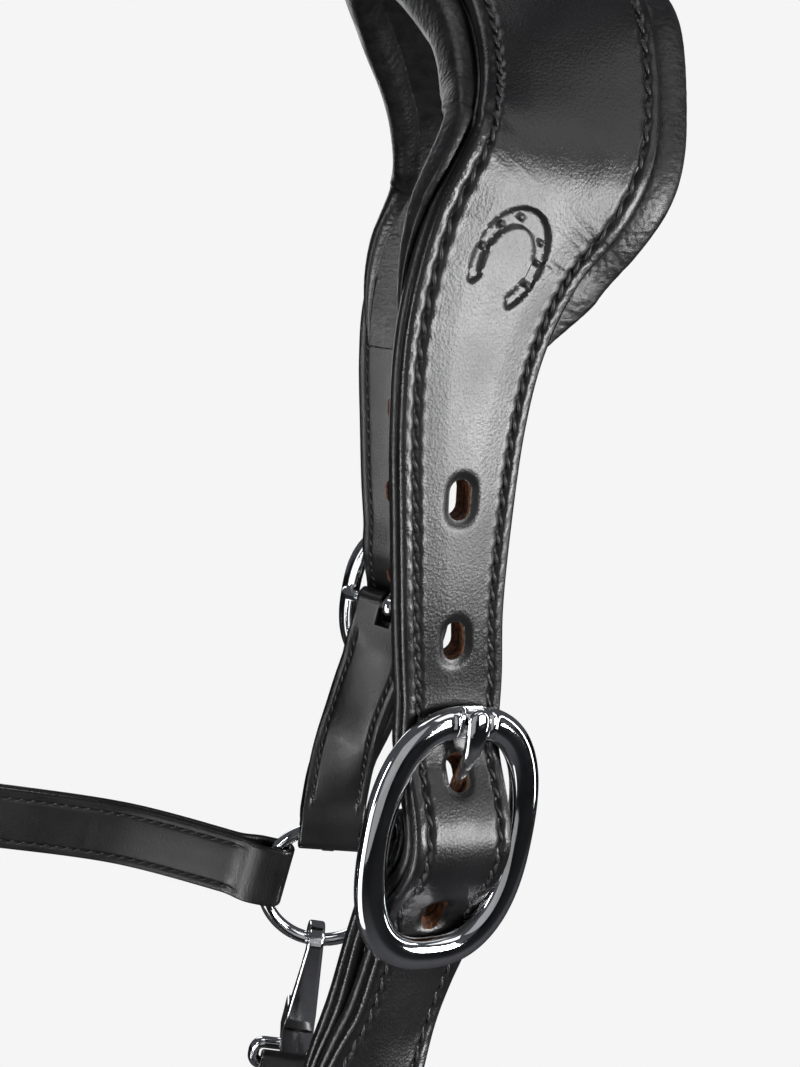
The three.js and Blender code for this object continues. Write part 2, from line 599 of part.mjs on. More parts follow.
function nosebandPad() {
  const frames = framesAlong(noseStations.map((s) => s.p), noseStations.map((s) => s.w)).slice(6, -6);
  const outward = frames[Math.floor(frames.length / 2)].n.z > 0 ? -1 : 1;
  const top = LAYER + 1.5 * GAP;
  return sweep(frames, (_, i) => {
    const swell = 0.35 + 0.65 * Math.sin((Math.PI * (i + 0.4)) / (frames.length - 0.2)) ** 0.4;
    const deep = top + 8 * swell;
    const half = [[17, top], [18.5, top + 3 * swell], [17, deep - 1.5 * swell], [13, deep]];
    const back = half.slice().reverse().map(([w, n]) => [-w, n]);
    return [...half, ...back].map(([w, n]) => [w, n * outward]);
  });
}
node('noseband_pad', nosebandPad(), 'pad');

// ---------------------------------------------------------------- chin strap and its buckle

const chinBuckle = buckleFrame(
  along(noseRing, [noseUp, -CHIN_BUCKLE_DROP], [X, -EYE_DEPTH]),
  noseUp.clone().negate(),
  X,
);
const chapeSteps = [0, ...barSteps, 30, 34, CHIN_BUCKLE_DROP - EYE_CENTRE];
const chinChape = chapeSteps.map((drop) => {
  const depth = chapeDepth(drop) + (EYE_DEPTH - CHAPE_DEPTH) * (1 - fade(drop - 16, 16));
  return { p: onBuckle(chinBuckle, -drop, depth), w: cheekForward };
});
const chinEye = { half: wireEye.half, flat: EYE_FLAT, run: 10 };
const chinPiece = foldedStrap(chinChape, X, barEye, chinEye);
node('chin_chape', combine(chinPiece, [], [chapeSlot(chinBuckle)]), 'leather');
node('chin_buckle', ovalBuckle(chinBuckle), 'chrome');
node('chin_tongue', tongue(chinBuckle), 'chrome');

// From the right nose ring under the chin and up through the buckle on the left.
const underChin = [
  [-84, -EYE_CENTRE], [-84, -32], [-84, -52], [-82.5, -75], [-76, -100], [-62, -121], [-41, -134],
  [-14, -139.3], [14, -139.3], [40, -137], [63, -130.5], [80, -118.5], [90, -104],
];
const chinTip = 46;
const chinHalfWidth = (d, length) => {
  const left = length - d;
  return left > 12 ? STRAP_WIDTH / 2 : 2.2 + (STRAP_WIDTH / 2 - 2.2) * (left / 12);
};
const billetHeights = [...barSteps.slice().reverse(), 0, ...barSteps.map((step) => -step),
  -chinTip + 12, -chinTip + 6, -chinTip];
const chinBillet = billetHeights.map((height) => (
  { p: onBuckle(chinBuckle, height, billetDepth(height)), w: cheekForward }
));
const chinRun = stationsThrough(
  [...underChin.map(([x, h]) => onNose(x, h)), chinBillet[0].p, chinBillet[1].p], cheekForward, 27,
).slice(0, -2);
const chinStations = [...chinRun, ...chinBillet];

function chinStrap() {
  const frames = framesAlong(chinStations.map((s) => s.p), chinStations.map((s) => s.w));
  const holes = [-HOLE_PITCH, 0].map((step) => {
    const height = TONGUE_HOLE + step;
    const p = onBuckle(chinBuckle, height, billetDepth(height));
    return billetHole({ p, u: chinBuckle.u, n: chinBuckle.n, w: chinBuckle.w });
  });
  for (const back of [13, 16]) {
    const f = frames[frames.length - billetHeights.length - back + 10];
    holes.push(billetHole({ p: f.p, u: f.t, n: f.n, w: f.w }));
  }
  const strap = foldedStrap(chinStations, down, wireEye, null, chinHalfWidth);
  return combine(strap, [], [...holes, ...tongueClearances(chinBuckle)]);
}
node('chin_strap', chinStrap(), 'leather');

// ---------------------------------------------------------------- throat strap with its snap

const onThroat = (x, drop) => along(new THREE.Vector3(x, THROAT_RING.y, THROAT_RING.z), [ringUp, -drop]);
const snapBar = RING_RADIUS + SNAP_LENGTH;
const underThroat = [
  [88, EYE_CENTRE], [88, 32], [88, 62], [86, 92], [77, 121], [60, 145], [37, 160.5], [13, 165.8],
  [-13, 165.8], [-38, 159.5], [-60, 145], [-73, 129], [-82, 111], [-87, 95], [-88, snapBar],
];
const throatStations = stationsThrough(underThroat.map(([x, drop]) => onThroat(x, drop)), ringBack, 30);
node('throat_strap', foldedStrap(throatStations, down, wireEye, bailEye), 'leather');

// The snap lies in its own frame: x across the ring wire, y up to the ring, z away from the horse.
const snapFrame = {
  p: along(mirrorX(THROAT_RING), [ringUp, -RING_RADIUS]),
  w: ringBack.clone().negate(),
  u: ringUp,
  n: X.clone().negate(),
};
const PIN = new THREE.Vector2(-36, 2.2);   // gate pivot: height under the wire, depth
const PIN_RADIUS = 1.2;
const SNAP_THICKNESS = 7.6;
const GATE_WIDTH = 3.8;

function snapBody() {
  const hookOut = 7.2;
  const hookIn = 3.2;
  const noseEnd = -4.5;
  const shape = new THREE.Shape();
  shape.moveTo(noseEnd, hookOut - 0.6);
  shape.absarc(0, 0, hookOut, Math.PI / 2, -Math.PI / 2, true);
  shape.lineTo(-31, -hookOut);
  shape.lineTo(-40, -6);
  shape.lineTo(-52, -3);
  shape.lineTo(-52, 3);
  shape.lineTo(-44, 6);
  shape.lineTo(-31, 6.6);
  shape.lineTo(-31, -2.8);
  shape.lineTo(noseEnd, -hookIn);
  shape.absarc(0, 0, hookIn, -Math.PI / 2, Math.PI / 2, false);
  shape.lineTo(noseEnd, hookIn + 0.2);
  const body = extrudeAcross(shape, SNAP_THICKNESS, 8);
  const slot = box(GATE_WIDTH + 2 * GAP, 18, 12, 0, -36, 3.7);
  const pinHole = new THREE.CylinderGeometry(PIN_RADIUS + GAP, PIN_RADIUS + GAP, 20, 12);
  pinHole.rotateZ(Math.PI / 2).translate(0, PIN.x, PIN.y);

  // the bail that holds the strap: a rounded rectangle of wire
  const halfWide = 15.9;
  const halfHigh = 5;
  const corner = 4;
  const outline = [];
  for (let i = 0; i < 16; i += 1) {
    const angle = (2 * Math.PI * (i + 0.5)) / 16;
    const x = Math.sign(Math.cos(angle)) * (halfWide - corner) + corner * Math.cos(angle);
    const y = Math.sign(Math.sin(angle)) * (halfHigh - corner) + corner * Math.sin(angle);
    outline.push(new THREE.Vector3(x, y - SNAP_LENGTH + halfHigh, 0));
  }
  const bail = sweep(framesAlong(outline, outline.map(() => Z), true), () => circle(2.3, 2.3, 8), true);
  return place(combine(body, [bail], [slot, pinHole]), snapFrame);
}

function snapGate() {
  const shape = new THREE.Shape();
  const top = -4.8;
  shape.moveTo(top, 3.7);
  shape.lineTo(top, 6.6);
  shape.lineTo(-17, 6.6);
  shape.lineTo(-19, 10);
  shape.lineTo(-22, 10);
  shape.lineTo(-24, 6.2);
  shape.lineTo(PIN.x, PIN.y + 3);
  shape.absarc(PIN.x, PIN.y, 3, Math.PI / 2, Math.PI * 1.5, false);
  shape.lineTo(PIN.x + 3.4, PIN.y - 2.6);
  const hole = new THREE.Path();
  hole.absarc(PIN.x, PIN.y, PIN_RADIUS + GAP, 0, 2 * Math.PI, true);
  shape.holes.push(hole);
  const beside = { ...snapFrame, p: along(snapFrame.p, [snapFrame.w, -0.8]) };
  return place(extrudeAcross(shape, GATE_WIDTH - 1.6, 5), beside);
}

function snapPin() {
  const pin = new THREE.CylinderGeometry(PIN_RADIUS, PIN_RADIUS, SNAP_THICKNESS, 12).rotateZ(Math.PI / 2);
  return place(pin.translate(0, PIN.x, PIN.y), snapFrame);
}

function snapSpring() {
  const shape = new THREE.Shape();
  shape.absarc(PIN.x, PIN.y, 2.5, 0, 2 * Math.PI, false);
  const hole = new THREE.Path();
  hole.absarc(PIN.x, PIN.y, PIN_RADIUS + GAP, 0, 2 * Math.PI, true);
  shape.holes.push(hole);
  return place(extrudeAcross(shape, 1.2, 6), { ...snapFrame, p: along(snapFrame.p, [snapFrame.w, 1.3]) });
}

node('throat_snap', snapBody(), 'chrome');
node('snap_gate', snapGate(), 'chrome');
node('snap_pin', snapPin(), 'steel');
node('snap_spring', snapSpring(), 'steel');

// ---------------------------------------------------------------- jowl strap and lead dee

const chinMiddle = onNose(0, -139.3);
const throatMiddle = onThroat(0, 165.8);
const DEE_OFFSET = 19;           // dee bar in front of the chin strap's middle
const deeBar = along(chinMiddle, [cheekForward, DEE_OFFSET]);
const jowlStart = [0, 8, 16, 24, 32].map((d) => along(deeBar, [cheekForward, -d]));
const jowlEnd = [STRAP_WIDTH, 18, 9, 0].map((d) => along(throatMiddle, [ringBack, 12.5 - d]));
const jowlCurve = new THREE.CatmullRomCurve3([...jowlStart, ...jowlEnd], false, 'centripetal');
const jowlStations = jowlCurve.getSpacedPoints(26).map((p) => ({ p, w: X }));
const jowlFront = { half: strapEye.half, flat: DEE_OFFSET + STRAP_WIDTH / 2 + 1, run: EYE_RUN };
node('jowl_strap', foldedStrap(jowlStations, down, jowlFront, strapEye), 'leather');

function leadDee() {
  const half = 16.5;
  const points = [new THREE.Vector3(-half, 0, 0), new THREE.Vector3(0, 0, 0), new THREE.Vector3(half, 0, 0)];
  for (let i = 0; i <= 12; i += 1) {
    const angle = (Math.PI * i) / 12;
    points.push(new THREE.Vector3((half + 3) * Math.cos(angle), 0, -6 - 28 * Math.sin(angle)));
  }
  const frames = framesAlong(points, points.map(() => Y), true);
  return sweep(frames, () => circle(WIRE_RADIUS, WIRE_RADIUS, 8), true).translate(deeBar.x, deeBar.y, deeBar.z);
}
node('lead_dee', leadDee(), 'chrome');

export default headcollar;
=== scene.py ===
import json
import math
from types import SimpleNamespace

import bpy
import numpy as np
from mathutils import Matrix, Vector


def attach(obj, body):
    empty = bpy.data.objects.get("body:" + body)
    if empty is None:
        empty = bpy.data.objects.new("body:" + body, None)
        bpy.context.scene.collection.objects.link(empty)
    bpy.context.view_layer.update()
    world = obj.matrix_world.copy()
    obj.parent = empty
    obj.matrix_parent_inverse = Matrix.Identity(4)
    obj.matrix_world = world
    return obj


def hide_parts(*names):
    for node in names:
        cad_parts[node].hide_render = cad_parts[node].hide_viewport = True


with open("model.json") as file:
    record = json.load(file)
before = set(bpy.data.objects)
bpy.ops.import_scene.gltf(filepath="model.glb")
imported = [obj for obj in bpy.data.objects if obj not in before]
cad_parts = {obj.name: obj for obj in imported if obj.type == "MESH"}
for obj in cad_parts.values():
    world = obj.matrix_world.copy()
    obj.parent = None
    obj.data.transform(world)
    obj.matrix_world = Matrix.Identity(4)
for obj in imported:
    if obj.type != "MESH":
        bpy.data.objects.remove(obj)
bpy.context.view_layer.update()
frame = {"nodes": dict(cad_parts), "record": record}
BODY = {n: b for b, ns in frame["record"]["behaviour"]["bodies"].items() for n in ns}
rng = np.random.default_rng(7)

# ---------------------------------------------------------------- sizes, millimetres

GAP = 0.3
STRAP = 25.0
CROWN_LAYER = 2.9
LAYER = 2.6
BUCKLE_WIDTH, BUCKLE_HEIGHT, BUCKLE_BAND, BUCKLE_DEPTH = 44.5, 61.4, 7.2, 4.6
BAR_RADIUS, BAR_DEPTH = 2.0, -5.0
RING_RADIUS, WIRE_RADIUS = 25.0, 2.5
HOLE_PITCH, HOLE_WIDTH, HOLE_LENGTH, TONGUE_HOLE = 31.0, 5.2, 8.8, 14.0
BUCKLE_CENTRE = np.array([92.25, -7.0, -198.0])
THROAT_RING = np.array([88.0, -35.3, -313.5])
TURN, TILT, RISE = np.radians([24, 11, 15.7])
CHEEK_LENGTH, NOSE_HALF_WIDTH, CHIN_DROP, SNAP_LENGTH = 175.0, 84.0, 60.0, 60.0
BILLET_DEPTH, BILLET_RISE, BILLET_REACH, BILLET_SWAY = -6.0, 9.85, 22.9, 0.06
CHAPE_DEPTH, CHAPE_REACH, EYE_DEPTH = -12.1, 20.0, -14.9
EYE_CENTRE, EYE_FLAT, EYE_RUN = 21.0, 6.8, 12.0
LOOP_SLACK = 1.2
PITCH = 4.2                      # stitch to stitch
INSET = 3.5                      # stitch line to the strap's edge
BAR_STEPS = [4, 8, 12, 16, 21, 26]
X, Y, Z = np.eye(3)


def unit(v):
    v = np.asarray(v, float)
    return v / np.linalg.norm(v, axis=-1, keepdims=True)


def fade(distance, run):
    return 0.5 + 0.5 * np.cos(np.pi * np.clip(np.asarray(distance, float) / run, 0, 1))


def bump(distance, width):
    return np.exp(-((np.asarray(distance, float) / width) ** 2))


def mirror(v):
    return np.asarray(v, float) * [-1, 1, 1]


# ---------------------------------------------------------------- curves and frames

def spline(rows, t):
    """A smooth curve through rows, at places t counted in rows."""
    q = np.asarray(rows, float)
    q = np.vstack([2 * q[0] - q[1], q, 2 * q[-1] - q[-2]])
    i = np.clip(np.floor(t).astype(int), 0, len(q) - 4)
    u = (np.asarray(t) - i)[:, None]
    a, b, c, d = q[i], q[i + 1], q[i + 2], q[i + 3]
    return 0.5 * (2 * b + (c - a) * u + (2 * a - 5 * b + 4 * c - d) * u**2 + (3 * b - a - 3 * c + d) * u**3)


def centripetal(points, count=40):
    """A smooth curve through points that doesn't overshoot at tight corners."""
    q = np.asarray(points, float)
    q = np.vstack([2 * q[0] - q[1], q, 2 * q[-1] - q[-2]])
    dt = np.sqrt(np.linalg.norm(np.diff(q, axis=0), axis=1))
    out = []
    u = np.linspace(0, 1, count, endpoint=False)[:, None]
    for i in range(len(q) - 3):
        x0, x1, x2, x3 = q[i:i + 4]
        d0, d1, d2 = dt[i:i + 3]
        m1 = ((x1 - x0) / d0 - (x2 - x0) / (d0 + d1) + (x2 - x1) / d1) * d1
        m2 = ((x2 - x1) / d1 - (x3 - x1) / (d1 + d2) + (x3 - x2) / d2) * d1
        out.append((2 * u**3 - 3 * u**2 + 1) * x1 + (u**3 - 2 * u**2 + u) * m1
                   + (3 * u**2 - 2 * u**3) * x2 + (u**3 - u**2) * m2)
    return np.vstack([*out, q[-2:-1]])


def lengths(p):
    return np.concatenate([[0], np.cumsum(np.linalg.norm(np.diff(p[:, :3], axis=0), axis=1))])


def at_lengths(rows, s):
    d = lengths(rows)
    return np.stack([np.interp(s, d, column) for column in rows.T], 1)


def evenly(rows, step):
    total = lengths(rows)[-1]
    return at_lengths(rows, np.linspace(0, total, max(3, round(total / step) + 1)))


def frames_along(p, wide, closed=False):
    p = np.asarray(p, float)
    wide = np.broadcast_to(np.asarray(wide, float), p.shape)
    if closed:
        t = unit(np.roll(p, -1, 0) - np.roll(p, 1, 0))
    else:
        t = unit(np.vstack([p[1:], p[-1:]]) - np.vstack([p[:1], p[:-1]]))
    w = unit(wide - (wide * t).sum(1, keepdims=True) * t)
    return SimpleNamespace(p=p, t=t, w=w, n=unit(np.cross(w, t)), s=lengths(p))


# ---------------------------------------------------------------- meshes

def piece(name, points, faces, material, node=None, body=None, sharp=None, edge=None, more=()):
    """A mesh piece in place, in millimetres, riding on the body of the CAD node that it stands for."""
    mesh = bpy.data.meshes.new(name)
    faces = faces.tolist() if isinstance(faces, np.ndarray) else faces
    mesh.from_pydata((np.asarray(points) * 0.001).tolist(), [], faces)
    mesh.validate()
    for m in (material, *more):
        mesh.materials.append(m)
    if edge is not None:
        values = mesh.attributes.new("edge", "FLOAT", "POINT").data
        values.foreach_set("value", np.asarray(edge, np.float32).ravel())
    mesh.shade_smooth()
    if sharp:
        mesh.set_sharp_from_angle(angle=math.radians(sharp))
    obj = bpy.data.objects.new(name, mesh)
    bpy.context.scene.collection.objects.link(obj)
    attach(obj, BODY[node] if node else body)
    if node and name.startswith(node) and not name.endswith("_stitches"):
        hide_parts(node)
    return obj


def volume(points, faces):
    a = points[faces[:, 0]]
    total = 0.0
    for i, j in ((1, 2), (2, 3)):
        total += (a * np.cross(points[faces[:, i]], points[faces[:, j]])).sum()
    return total


def tube(f, across, outward, closed=False):
    """Points and quads of a section swept along frames; across and outward are (stations, section points)."""
    n, c = across.shape
    points = f.p[:, None] + f.w[:, None] * across[..., None] + f.n[:, None] * outward[..., None]
    rows = np.arange(n if closed else n - 1)[:, None]
    cols = np.arange(c)[None]
    nxt, right = (rows + 1) % n, (cols + 1) % c
    faces = np.stack([rows * c + cols, rows * c + right, nxt * c + right, nxt * c + cols], -1).reshape(-1, 4)
    if not closed:
        j = np.arange(c // 2 - 1)
        cap = np.stack([j, c - 1 - j, c - 2 - j, j + 1], -1)
        faces = np.vstack([faces, cap, (cap + (n - 1) * c)[:, ::-1]])
    points = points.reshape(-1, 3)
    if volume(points, faces) < 0:
        faces = faces[:, ::-1]
    return points, faces


def rounded(a, b, sides, power=2.0):
    """A closed oval section: superellipse of half sizes a and b."""
    q = 2 * np.pi * (np.arange(sides) + 0.5) / sides
    c, s = np.cos(q), np.sin(q)
    return a * np.sign(c) * abs(c) ** (2 / power), b * np.sign(s) * abs(s) ** (2 / power)


def wire(points, radius, wide, closed=False, sides=20, power=2.0, radii=None):
    f = frames_along(points, wide, closed)
    a, b = rounded(radius, radius, sides, power)
    k = np.ones((len(f.p), 1)) if radii is None else np.asarray(radii)[:, None]
    return tube(f, k * a, k * b, closed)


def joined(*parts):
    points, faces, base = [], [], 0
    for p, q in parts:
        points.append(p)
        faces.append(np.asarray(q) + base)
        base += len(p)
    return np.vstack(points), np.vstack(faces)


EDGE_STEPS = np.array([0, 0.1, 0.28, 0.55, 0.9, 1.3, 1.8, 2.3, 2.7, 3.0, 3.25, 3.5, 3.75, 4.0, 4.4, 5.0])


def slab(f, half, low, high, relief=None, under=None, core=8, radius=1.15, closed=False):
    """One layer of strap with rounded edges. relief and under raise its two faces: f(w, edge distance)."""
    half = np.broadcast_to(half, len(f.p)).astype(float)
    k = np.minimum(1, half / (EDGE_STEPS[-1] + 0.4))[:, None]
    side = half[:, None] - EDGE_STEPS * k
    mid = (half[:, None] - EDGE_STEPS[-1] * k) * np.linspace(-1, 1, core + 2)[1:-1]
    w = np.hstack([-side, mid, side[:, ::-1]])
    edge = half[:, None] - abs(w)
    r = radius * k
    drop = r * (1 - np.sqrt(1 - np.clip(1 - edge / r, 0, 1) ** 2))
    top = high - drop + (relief(w, edge) if relief else 0)
    bottom = low + drop - (under(w, edge) if under else 0)
    points, faces = tube(f, np.hstack([w, w[:, ::-1]]), np.hstack([top, bottom[:, ::-1]]), closed)
    return points, faces, np.hstack([bump(edge, 1.6), bump(edge, 1.6)[:, ::-1]]).ravel()


def stitches(name, f, places, across, height, node, slant=0.42, size=(1.75, 0.5)):
    """Slanted stitches lying in the groove: across and height at each station, places along it."""
    if not len(places):
        return
    x = np.array([-1, -0.86, -0.5, 0, 0.5, 0.86, 1.0])
    r = np.clip(1 - x**2, 0.02, 1) ** 0.42
    q = 2 * np.pi * np.arange(6) / 6
    shape = np.stack([np.repeat(x, 6) * size[0],
                      (r[:, None] * np.cos(q)).ravel() * size[1],
                      (r[:, None] * np.sin(q)).ravel() * size[1] - 0.42 * np.repeat(x**2, 6)], 1)
    quads = [[i * 6 + j, i * 6 + (j + 1) % 6, (i + 1) * 6 + (j + 1) % 6, (i + 1) * 6 + j]
             for i in range(6) for j in range(6)]
    caps = [list(range(5, -1, -1)), list(range(36, 42))]
    path = f.p + f.w * np.asarray(across)[:, None] + f.n * np.asarray(height)[:, None]
    def pick(a):
        return np.stack([np.interp(places, f.s, c) for c in np.asarray(a).T], 1)
    centre = pick(path)
    t = unit(pick(np.gradient(path, axis=0)))
    n = pick(f.n)
    n = unit(n - (n * t).sum(1, keepdims=True) * t)
    b = np.cross(n, t)
    angle = slant + rng.normal(0, 0.035, (len(places), 1))
    a1, a2 = t * np.cos(angle) + b * np.sin(angle), b * np.cos(angle) - t * np.sin(angle)
    points = (centre[:, None] + a1[:, None] * shape[None, :, :1] + a2[:, None] * shape[None, :, 1:2]
              + n[:, None] * shape[None, :, 2:]).reshape(-1, 3)
    faces = []
    for k in range(len(places)):
        faces += [[i + 42 * k for i in g] for g in quads + caps]
    piece(name, points, faces, THREAD, node=node)


def cut(obj, cutters, inside=None, sharp=38):
    """Takes the cutter solids out of a piece and gives the walls that this opens the raw leather finish."""
    points, faces = [], []
    for p, q in cutters:
        faces += [[i + sum(map(len, points)) for i in g] for g in q]
        points.append(p)
    mesh = bpy.data.meshes.new("cutter")
    mesh.from_pydata((np.vstack(points) * 0.001).tolist(), [], faces)
    tool = bpy.data.objects.new("cutter", mesh)
    bpy.context.scene.collection.objects.link(tool)
    m = obj.modifiers.new("cut", "BOOLEAN")
    m.operation, m.solver, m.object = "DIFFERENCE", "EXACT", tool
    bpy.context.view_layer.update()
    done = bpy.data.meshes.new_from_object(obj.evaluated_get(bpy.context.evaluated_depsgraph_get()))
    obj.modifiers.clear()
    old = obj.data
    obj.data = done
    bpy.data.meshes.remove(old)
    bpy.data.objects.remove(tool)
    if inside is not None:
        co = np.zeros(len(done.polygons) * 3)
        no = np.zeros(len(done.polygons) * 3)
        done.polygons.foreach_get("center", co)
        done.polygons.foreach_get("normal", no)
        index = np.zeros(len(done.polygons), np.int32)
        index[inside(co.reshape(-1, 3) * 1000, no.reshape(-1, 3))] = 1
        done.polygons.foreach_set("material_index", index)
    done.shade_smooth()
    done.set_sharp_from_angle(angle=math.radians(sharp))
    return obj


# ---------------------------------------------------------------- finishes

def finish(name, colour, roughness, metallic=0.0):
    m = bpy.data.materials.new(name)
    m.use_nodes = True
    nodes, links = m.node_tree.nodes, m.node_tree.links
    shader = nodes["Principled BSDF"]
    shader.inputs["Base Color"].default_value = (*colour, 1)
    shader.inputs["Roughness"].default_value = roughness
    shader.inputs["Metallic"].default_value = metallic
    place = nodes.new("ShaderNodeTexCoord").outputs["Object"]
    return SimpleNamespace(m=m, nodes=nodes, links=links, shader=shader, place=place)


def noise(k, scale, detail=3.0, stretch=None):
    t = k.nodes.new("ShaderNodeTexNoise")
    t.inputs["Scale"].default_value = scale
    t.inputs["Detail"].default_value = detail
    if stretch:
        mapping = k.nodes.new("ShaderNodeMapping")
        mapping.inputs["Scale"].default_value = stretch
        k.links.new(k.place, mapping.inputs["Vector"])
        k.links.new(mapping.outputs["Vector"], t.inputs["Vector"])
    else:
        k.links.new(k.place, t.inputs["Vector"])
    return t.outputs["Fac"]


def cells(k, scale, feature="F1"):
    t = k.nodes.new("ShaderNodeTexVoronoi")
    t.feature = feature
    t.inputs["Scale"].default_value = scale
    k.links.new(k.place, t.inputs["Vector"])
    return t.outputs["Distance"]


def span(k, source, low, high, start=0.0, end=1.0):
    r = k.nodes.new("ShaderNodeMapRange")
    for socket, value in zip(("From Min", "From Max", "To Min", "To Max"), (start, end, low, high)):
        r.inputs[socket].default_value = value
    k.links.new(source, r.inputs["Value"])
    return r.outputs["Result"]


def maths(k, kind, a, b):
    m = k.nodes.new("ShaderNodeMath")
    m.operation = kind
    for socket, value in zip(m.inputs, (a, b)):
        if isinstance(value, (int, float)):
            socket.default_value = value
        else:
            k.links.new(value, socket)
    return m.outputs[0]


def raised(k, height, depth, strength=1.0):
    b = k.nodes.new("ShaderNodeBump")
    b.inputs["Distance"].default_value = depth
    b.inputs["Strength"].default_value = strength
    k.links.new(height, b.inputs["Height"])
    k.links.new(b.outputs["Normal"], k.shader.inputs["Normal"])


def blend_colours(k, factor, low, high, socket="Base Color"):
    c = k.nodes.new("ShaderNodeMix")
    c.data_type = "RGBA"
    k.links.new(factor, c.inputs["Factor"])
    c.inputs["A"].default_value = (*low, 1)
    c.inputs["B"].default_value = (*high, 1)
    k.links.new(c.outputs["Result"], k.shader.inputs[socket])


def smooth_leather(name, gloss, grain):
    k = finish(name, (0.012, 0.0115, 0.012), gloss)
    pores = maths(k, "MULTIPLY", cells(k, 1500), 0.5)
    fine = maths(k, "ADD", pores, maths(k, "MULTIPLY", noise(k, 2600, 4), 0.6))
    height = maths(k, "ADD", fine, maths(k, "MULTIPLY", noise(k, 170, 4), 0.3))
    raised(k, height, grain, 0.6)
    edge = k.nodes.new("ShaderNodeAttribute")
    edge.attribute_name = "edge"
    rough = maths(k, "SUBTRACT", span(k, noise(k, 60, 5), gloss - 0.06, gloss + 0.08, 0.3, 0.7),
                  maths(k, "MULTIPLY", edge.outputs["Fac"], 0.10))
    k.links.new(rough, k.shader.inputs["Roughness"])
    blend_colours(k, span(k, noise(k, 90, 5), 0, 1, 0.35, 0.65),
                  (0.0055, 0.0052, 0.0056), (0.010, 0.0098, 0.0106))
    k.shader.inputs["Coat Weight"].default_value = 0.22
    k.shader.inputs["Coat Roughness"].default_value = 0.22
    return k.m


def soft_leather(name):
    k = finish(name, (0.008, 0.0078, 0.0083), 0.4)
    grain = maths(k, "ADD", cells(k, 780, "SMOOTH_F1"), maths(k, "MULTIPLY", noise(k, 1900, 3), 0.35))
    creases = noise(k, 420, 3, (0.5, 0.5, 2.2))
    raised(k, maths(k, "ADD", grain, maths(k, "MULTIPLY", creases, 1.1)), 0.00024, 0.7)
    k.links.new(span(k, noise(k, 120, 4), 0.34, 0.5, 0.3, 0.7), k.shader.inputs["Roughness"])
    blend_colours(k, span(k, noise(k, 240, 4), 0, 1, 0.35, 0.65),
                  (0.006, 0.0058, 0.0062), (0.012, 0.0115, 0.0125))
    k.shader.inputs["Coat Weight"].default_value = 0.12
    k.shader.inputs["Coat Roughness"].default_value = 0.3
    return k.m


def thread_finish():
    k = finish("waxed_thread", (0.02, 0.02, 0.021), 0.42)
    raised(k, noise(k, 3800, 2), 0.0001, 0.5)
    blend_colours(k, noise(k, 700, 2), (0.014, 0.014, 0.015), (0.032, 0.031, 0.033))
    return k.m


def raw_finish():
    k = finish("raw_leather", (0.16, 0.065, 0.03), 0.85)
    raised(k, noise(k, 1800, 5), 0.0004, 0.9)
    blend_colours(k, span(k, noise(k, 900, 5), 0, 1, 0.3, 0.7), (0.02, 0.01, 0.006), (0.24, 0.1, 0.045))
    return k.m


def chrome_finish():
    k = finish("chrome", (0.86, 0.87, 0.89), 0.06, 1.0)
    k.links.new(span(k, noise(k, 160, 4), 0.035, 0.09, 0.3, 0.7), k.shader.inputs["Roughness"])
    specks = span(k, cells(k, 620), 1, 0, 0.0, 0.12)
    raised(k, maths(k, "ADD", maths(k, "MULTIPLY", specks, 0.25), maths(k, "MULTIPLY", noise(k, 70, 3), 0.5)),
           0.00012, 0.35)
    blend_colours(k, span(k, noise(k, 300, 5), 0, 1, 0.55, 0.8), (0.87, 0.88, 0.9), (0.74, 0.72, 0.7))
    return k.m


def steel_finish():
    k = finish("spring_steel", (0.56, 0.565, 0.58), 0.3, 1.0)
    k.links.new(span(k, noise(k, 900, 3, (0.2, 1, 1)), 0.22, 0.4, 0.3, 0.7), k.shader.inputs["Roughness"])
    blend_colours(k, noise(k, 400, 3), (0.45, 0.455, 0.47), (0.62, 0.625, 0.64))
    return k.m


LEATHER = smooth_leather("bridle_leather", 0.34, 0.00016)
LINING = smooth_leather("lining_leather", 0.44, 0.00024)
PAD = soft_leather("soft_leather")
THREAD = thread_finish()
RAW = raw_finish()
CHROME = chrome_finish()
STEEL = steel_finish()

# ---------------------------------------------------------------- buckle places

face_out = np.array([math.cos(TURN), math.sin(TURN), 0])
level_back = np.array([-face_out[1], face_out[0], 0])
buckle_up = level_back * math.sin(TILT) + Z * math.cos(TILT)
ring_up = np.array([0, math.sin(TILT), math.cos(TILT)])
ring_back = np.array([0, ring_up[2], -ring_up[1]])
eye_up = np.array([0, math.sin(math.radians(6)), math.cos(math.radians(6))])
eye_back = np.array([0, eye_up[2], -eye_up[1]])
cheek_forward = np.array([0, -math.cos(RISE), math.sin(RISE)])
nose_up = np.array([0, math.sin(RISE), math.cos(RISE)])
nose_ring = THROAT_RING + cheek_forward * CHEEK_LENGTH
nose_ring[0] = NOSE_HALF_WIDTH


def buckle_frame(p, u, n):
    return SimpleNamespace(p=np.asarray(p, float), u=u, n=n, w=unit(np.cross(u, n)))


def mirrored(b):
    return SimpleNamespace(p=mirror(b.p), u=mirror(b.u), n=mirror(b.n), w=mirror(b.w))


def on_buckle(b, height, depth):
    return b.p + b.u * height + b.n * depth


def placed(local, b):
    return b.p + local[:, :1] * b.w + local[:, 1:2] * b.u + local[:, 2:] * b.n


crown_buckle = buckle_frame(BUCKLE_CENTRE, buckle_up, face_out)
chin_buckle = buckle_frame(nose_ring - nose_up * CHIN_DROP - X * EYE_DEPTH, -nose_up, X)
back_across = crown_buckle.w if crown_buckle.w[1] > 0 else -crown_buckle.w


def billet_depth(height):
    return BILLET_DEPTH + BILLET_RISE * float(fade(abs(height), BILLET_REACH))


def billet_shift(height):
    return -BILLET_SWAY * height - 0.09 * max(height - 17, 0)


def chape_depth(height):
    return CHAPE_DEPTH + (BAR_DEPTH - CHAPE_DEPTH) * float(fade(abs(height), CHAPE_REACH))


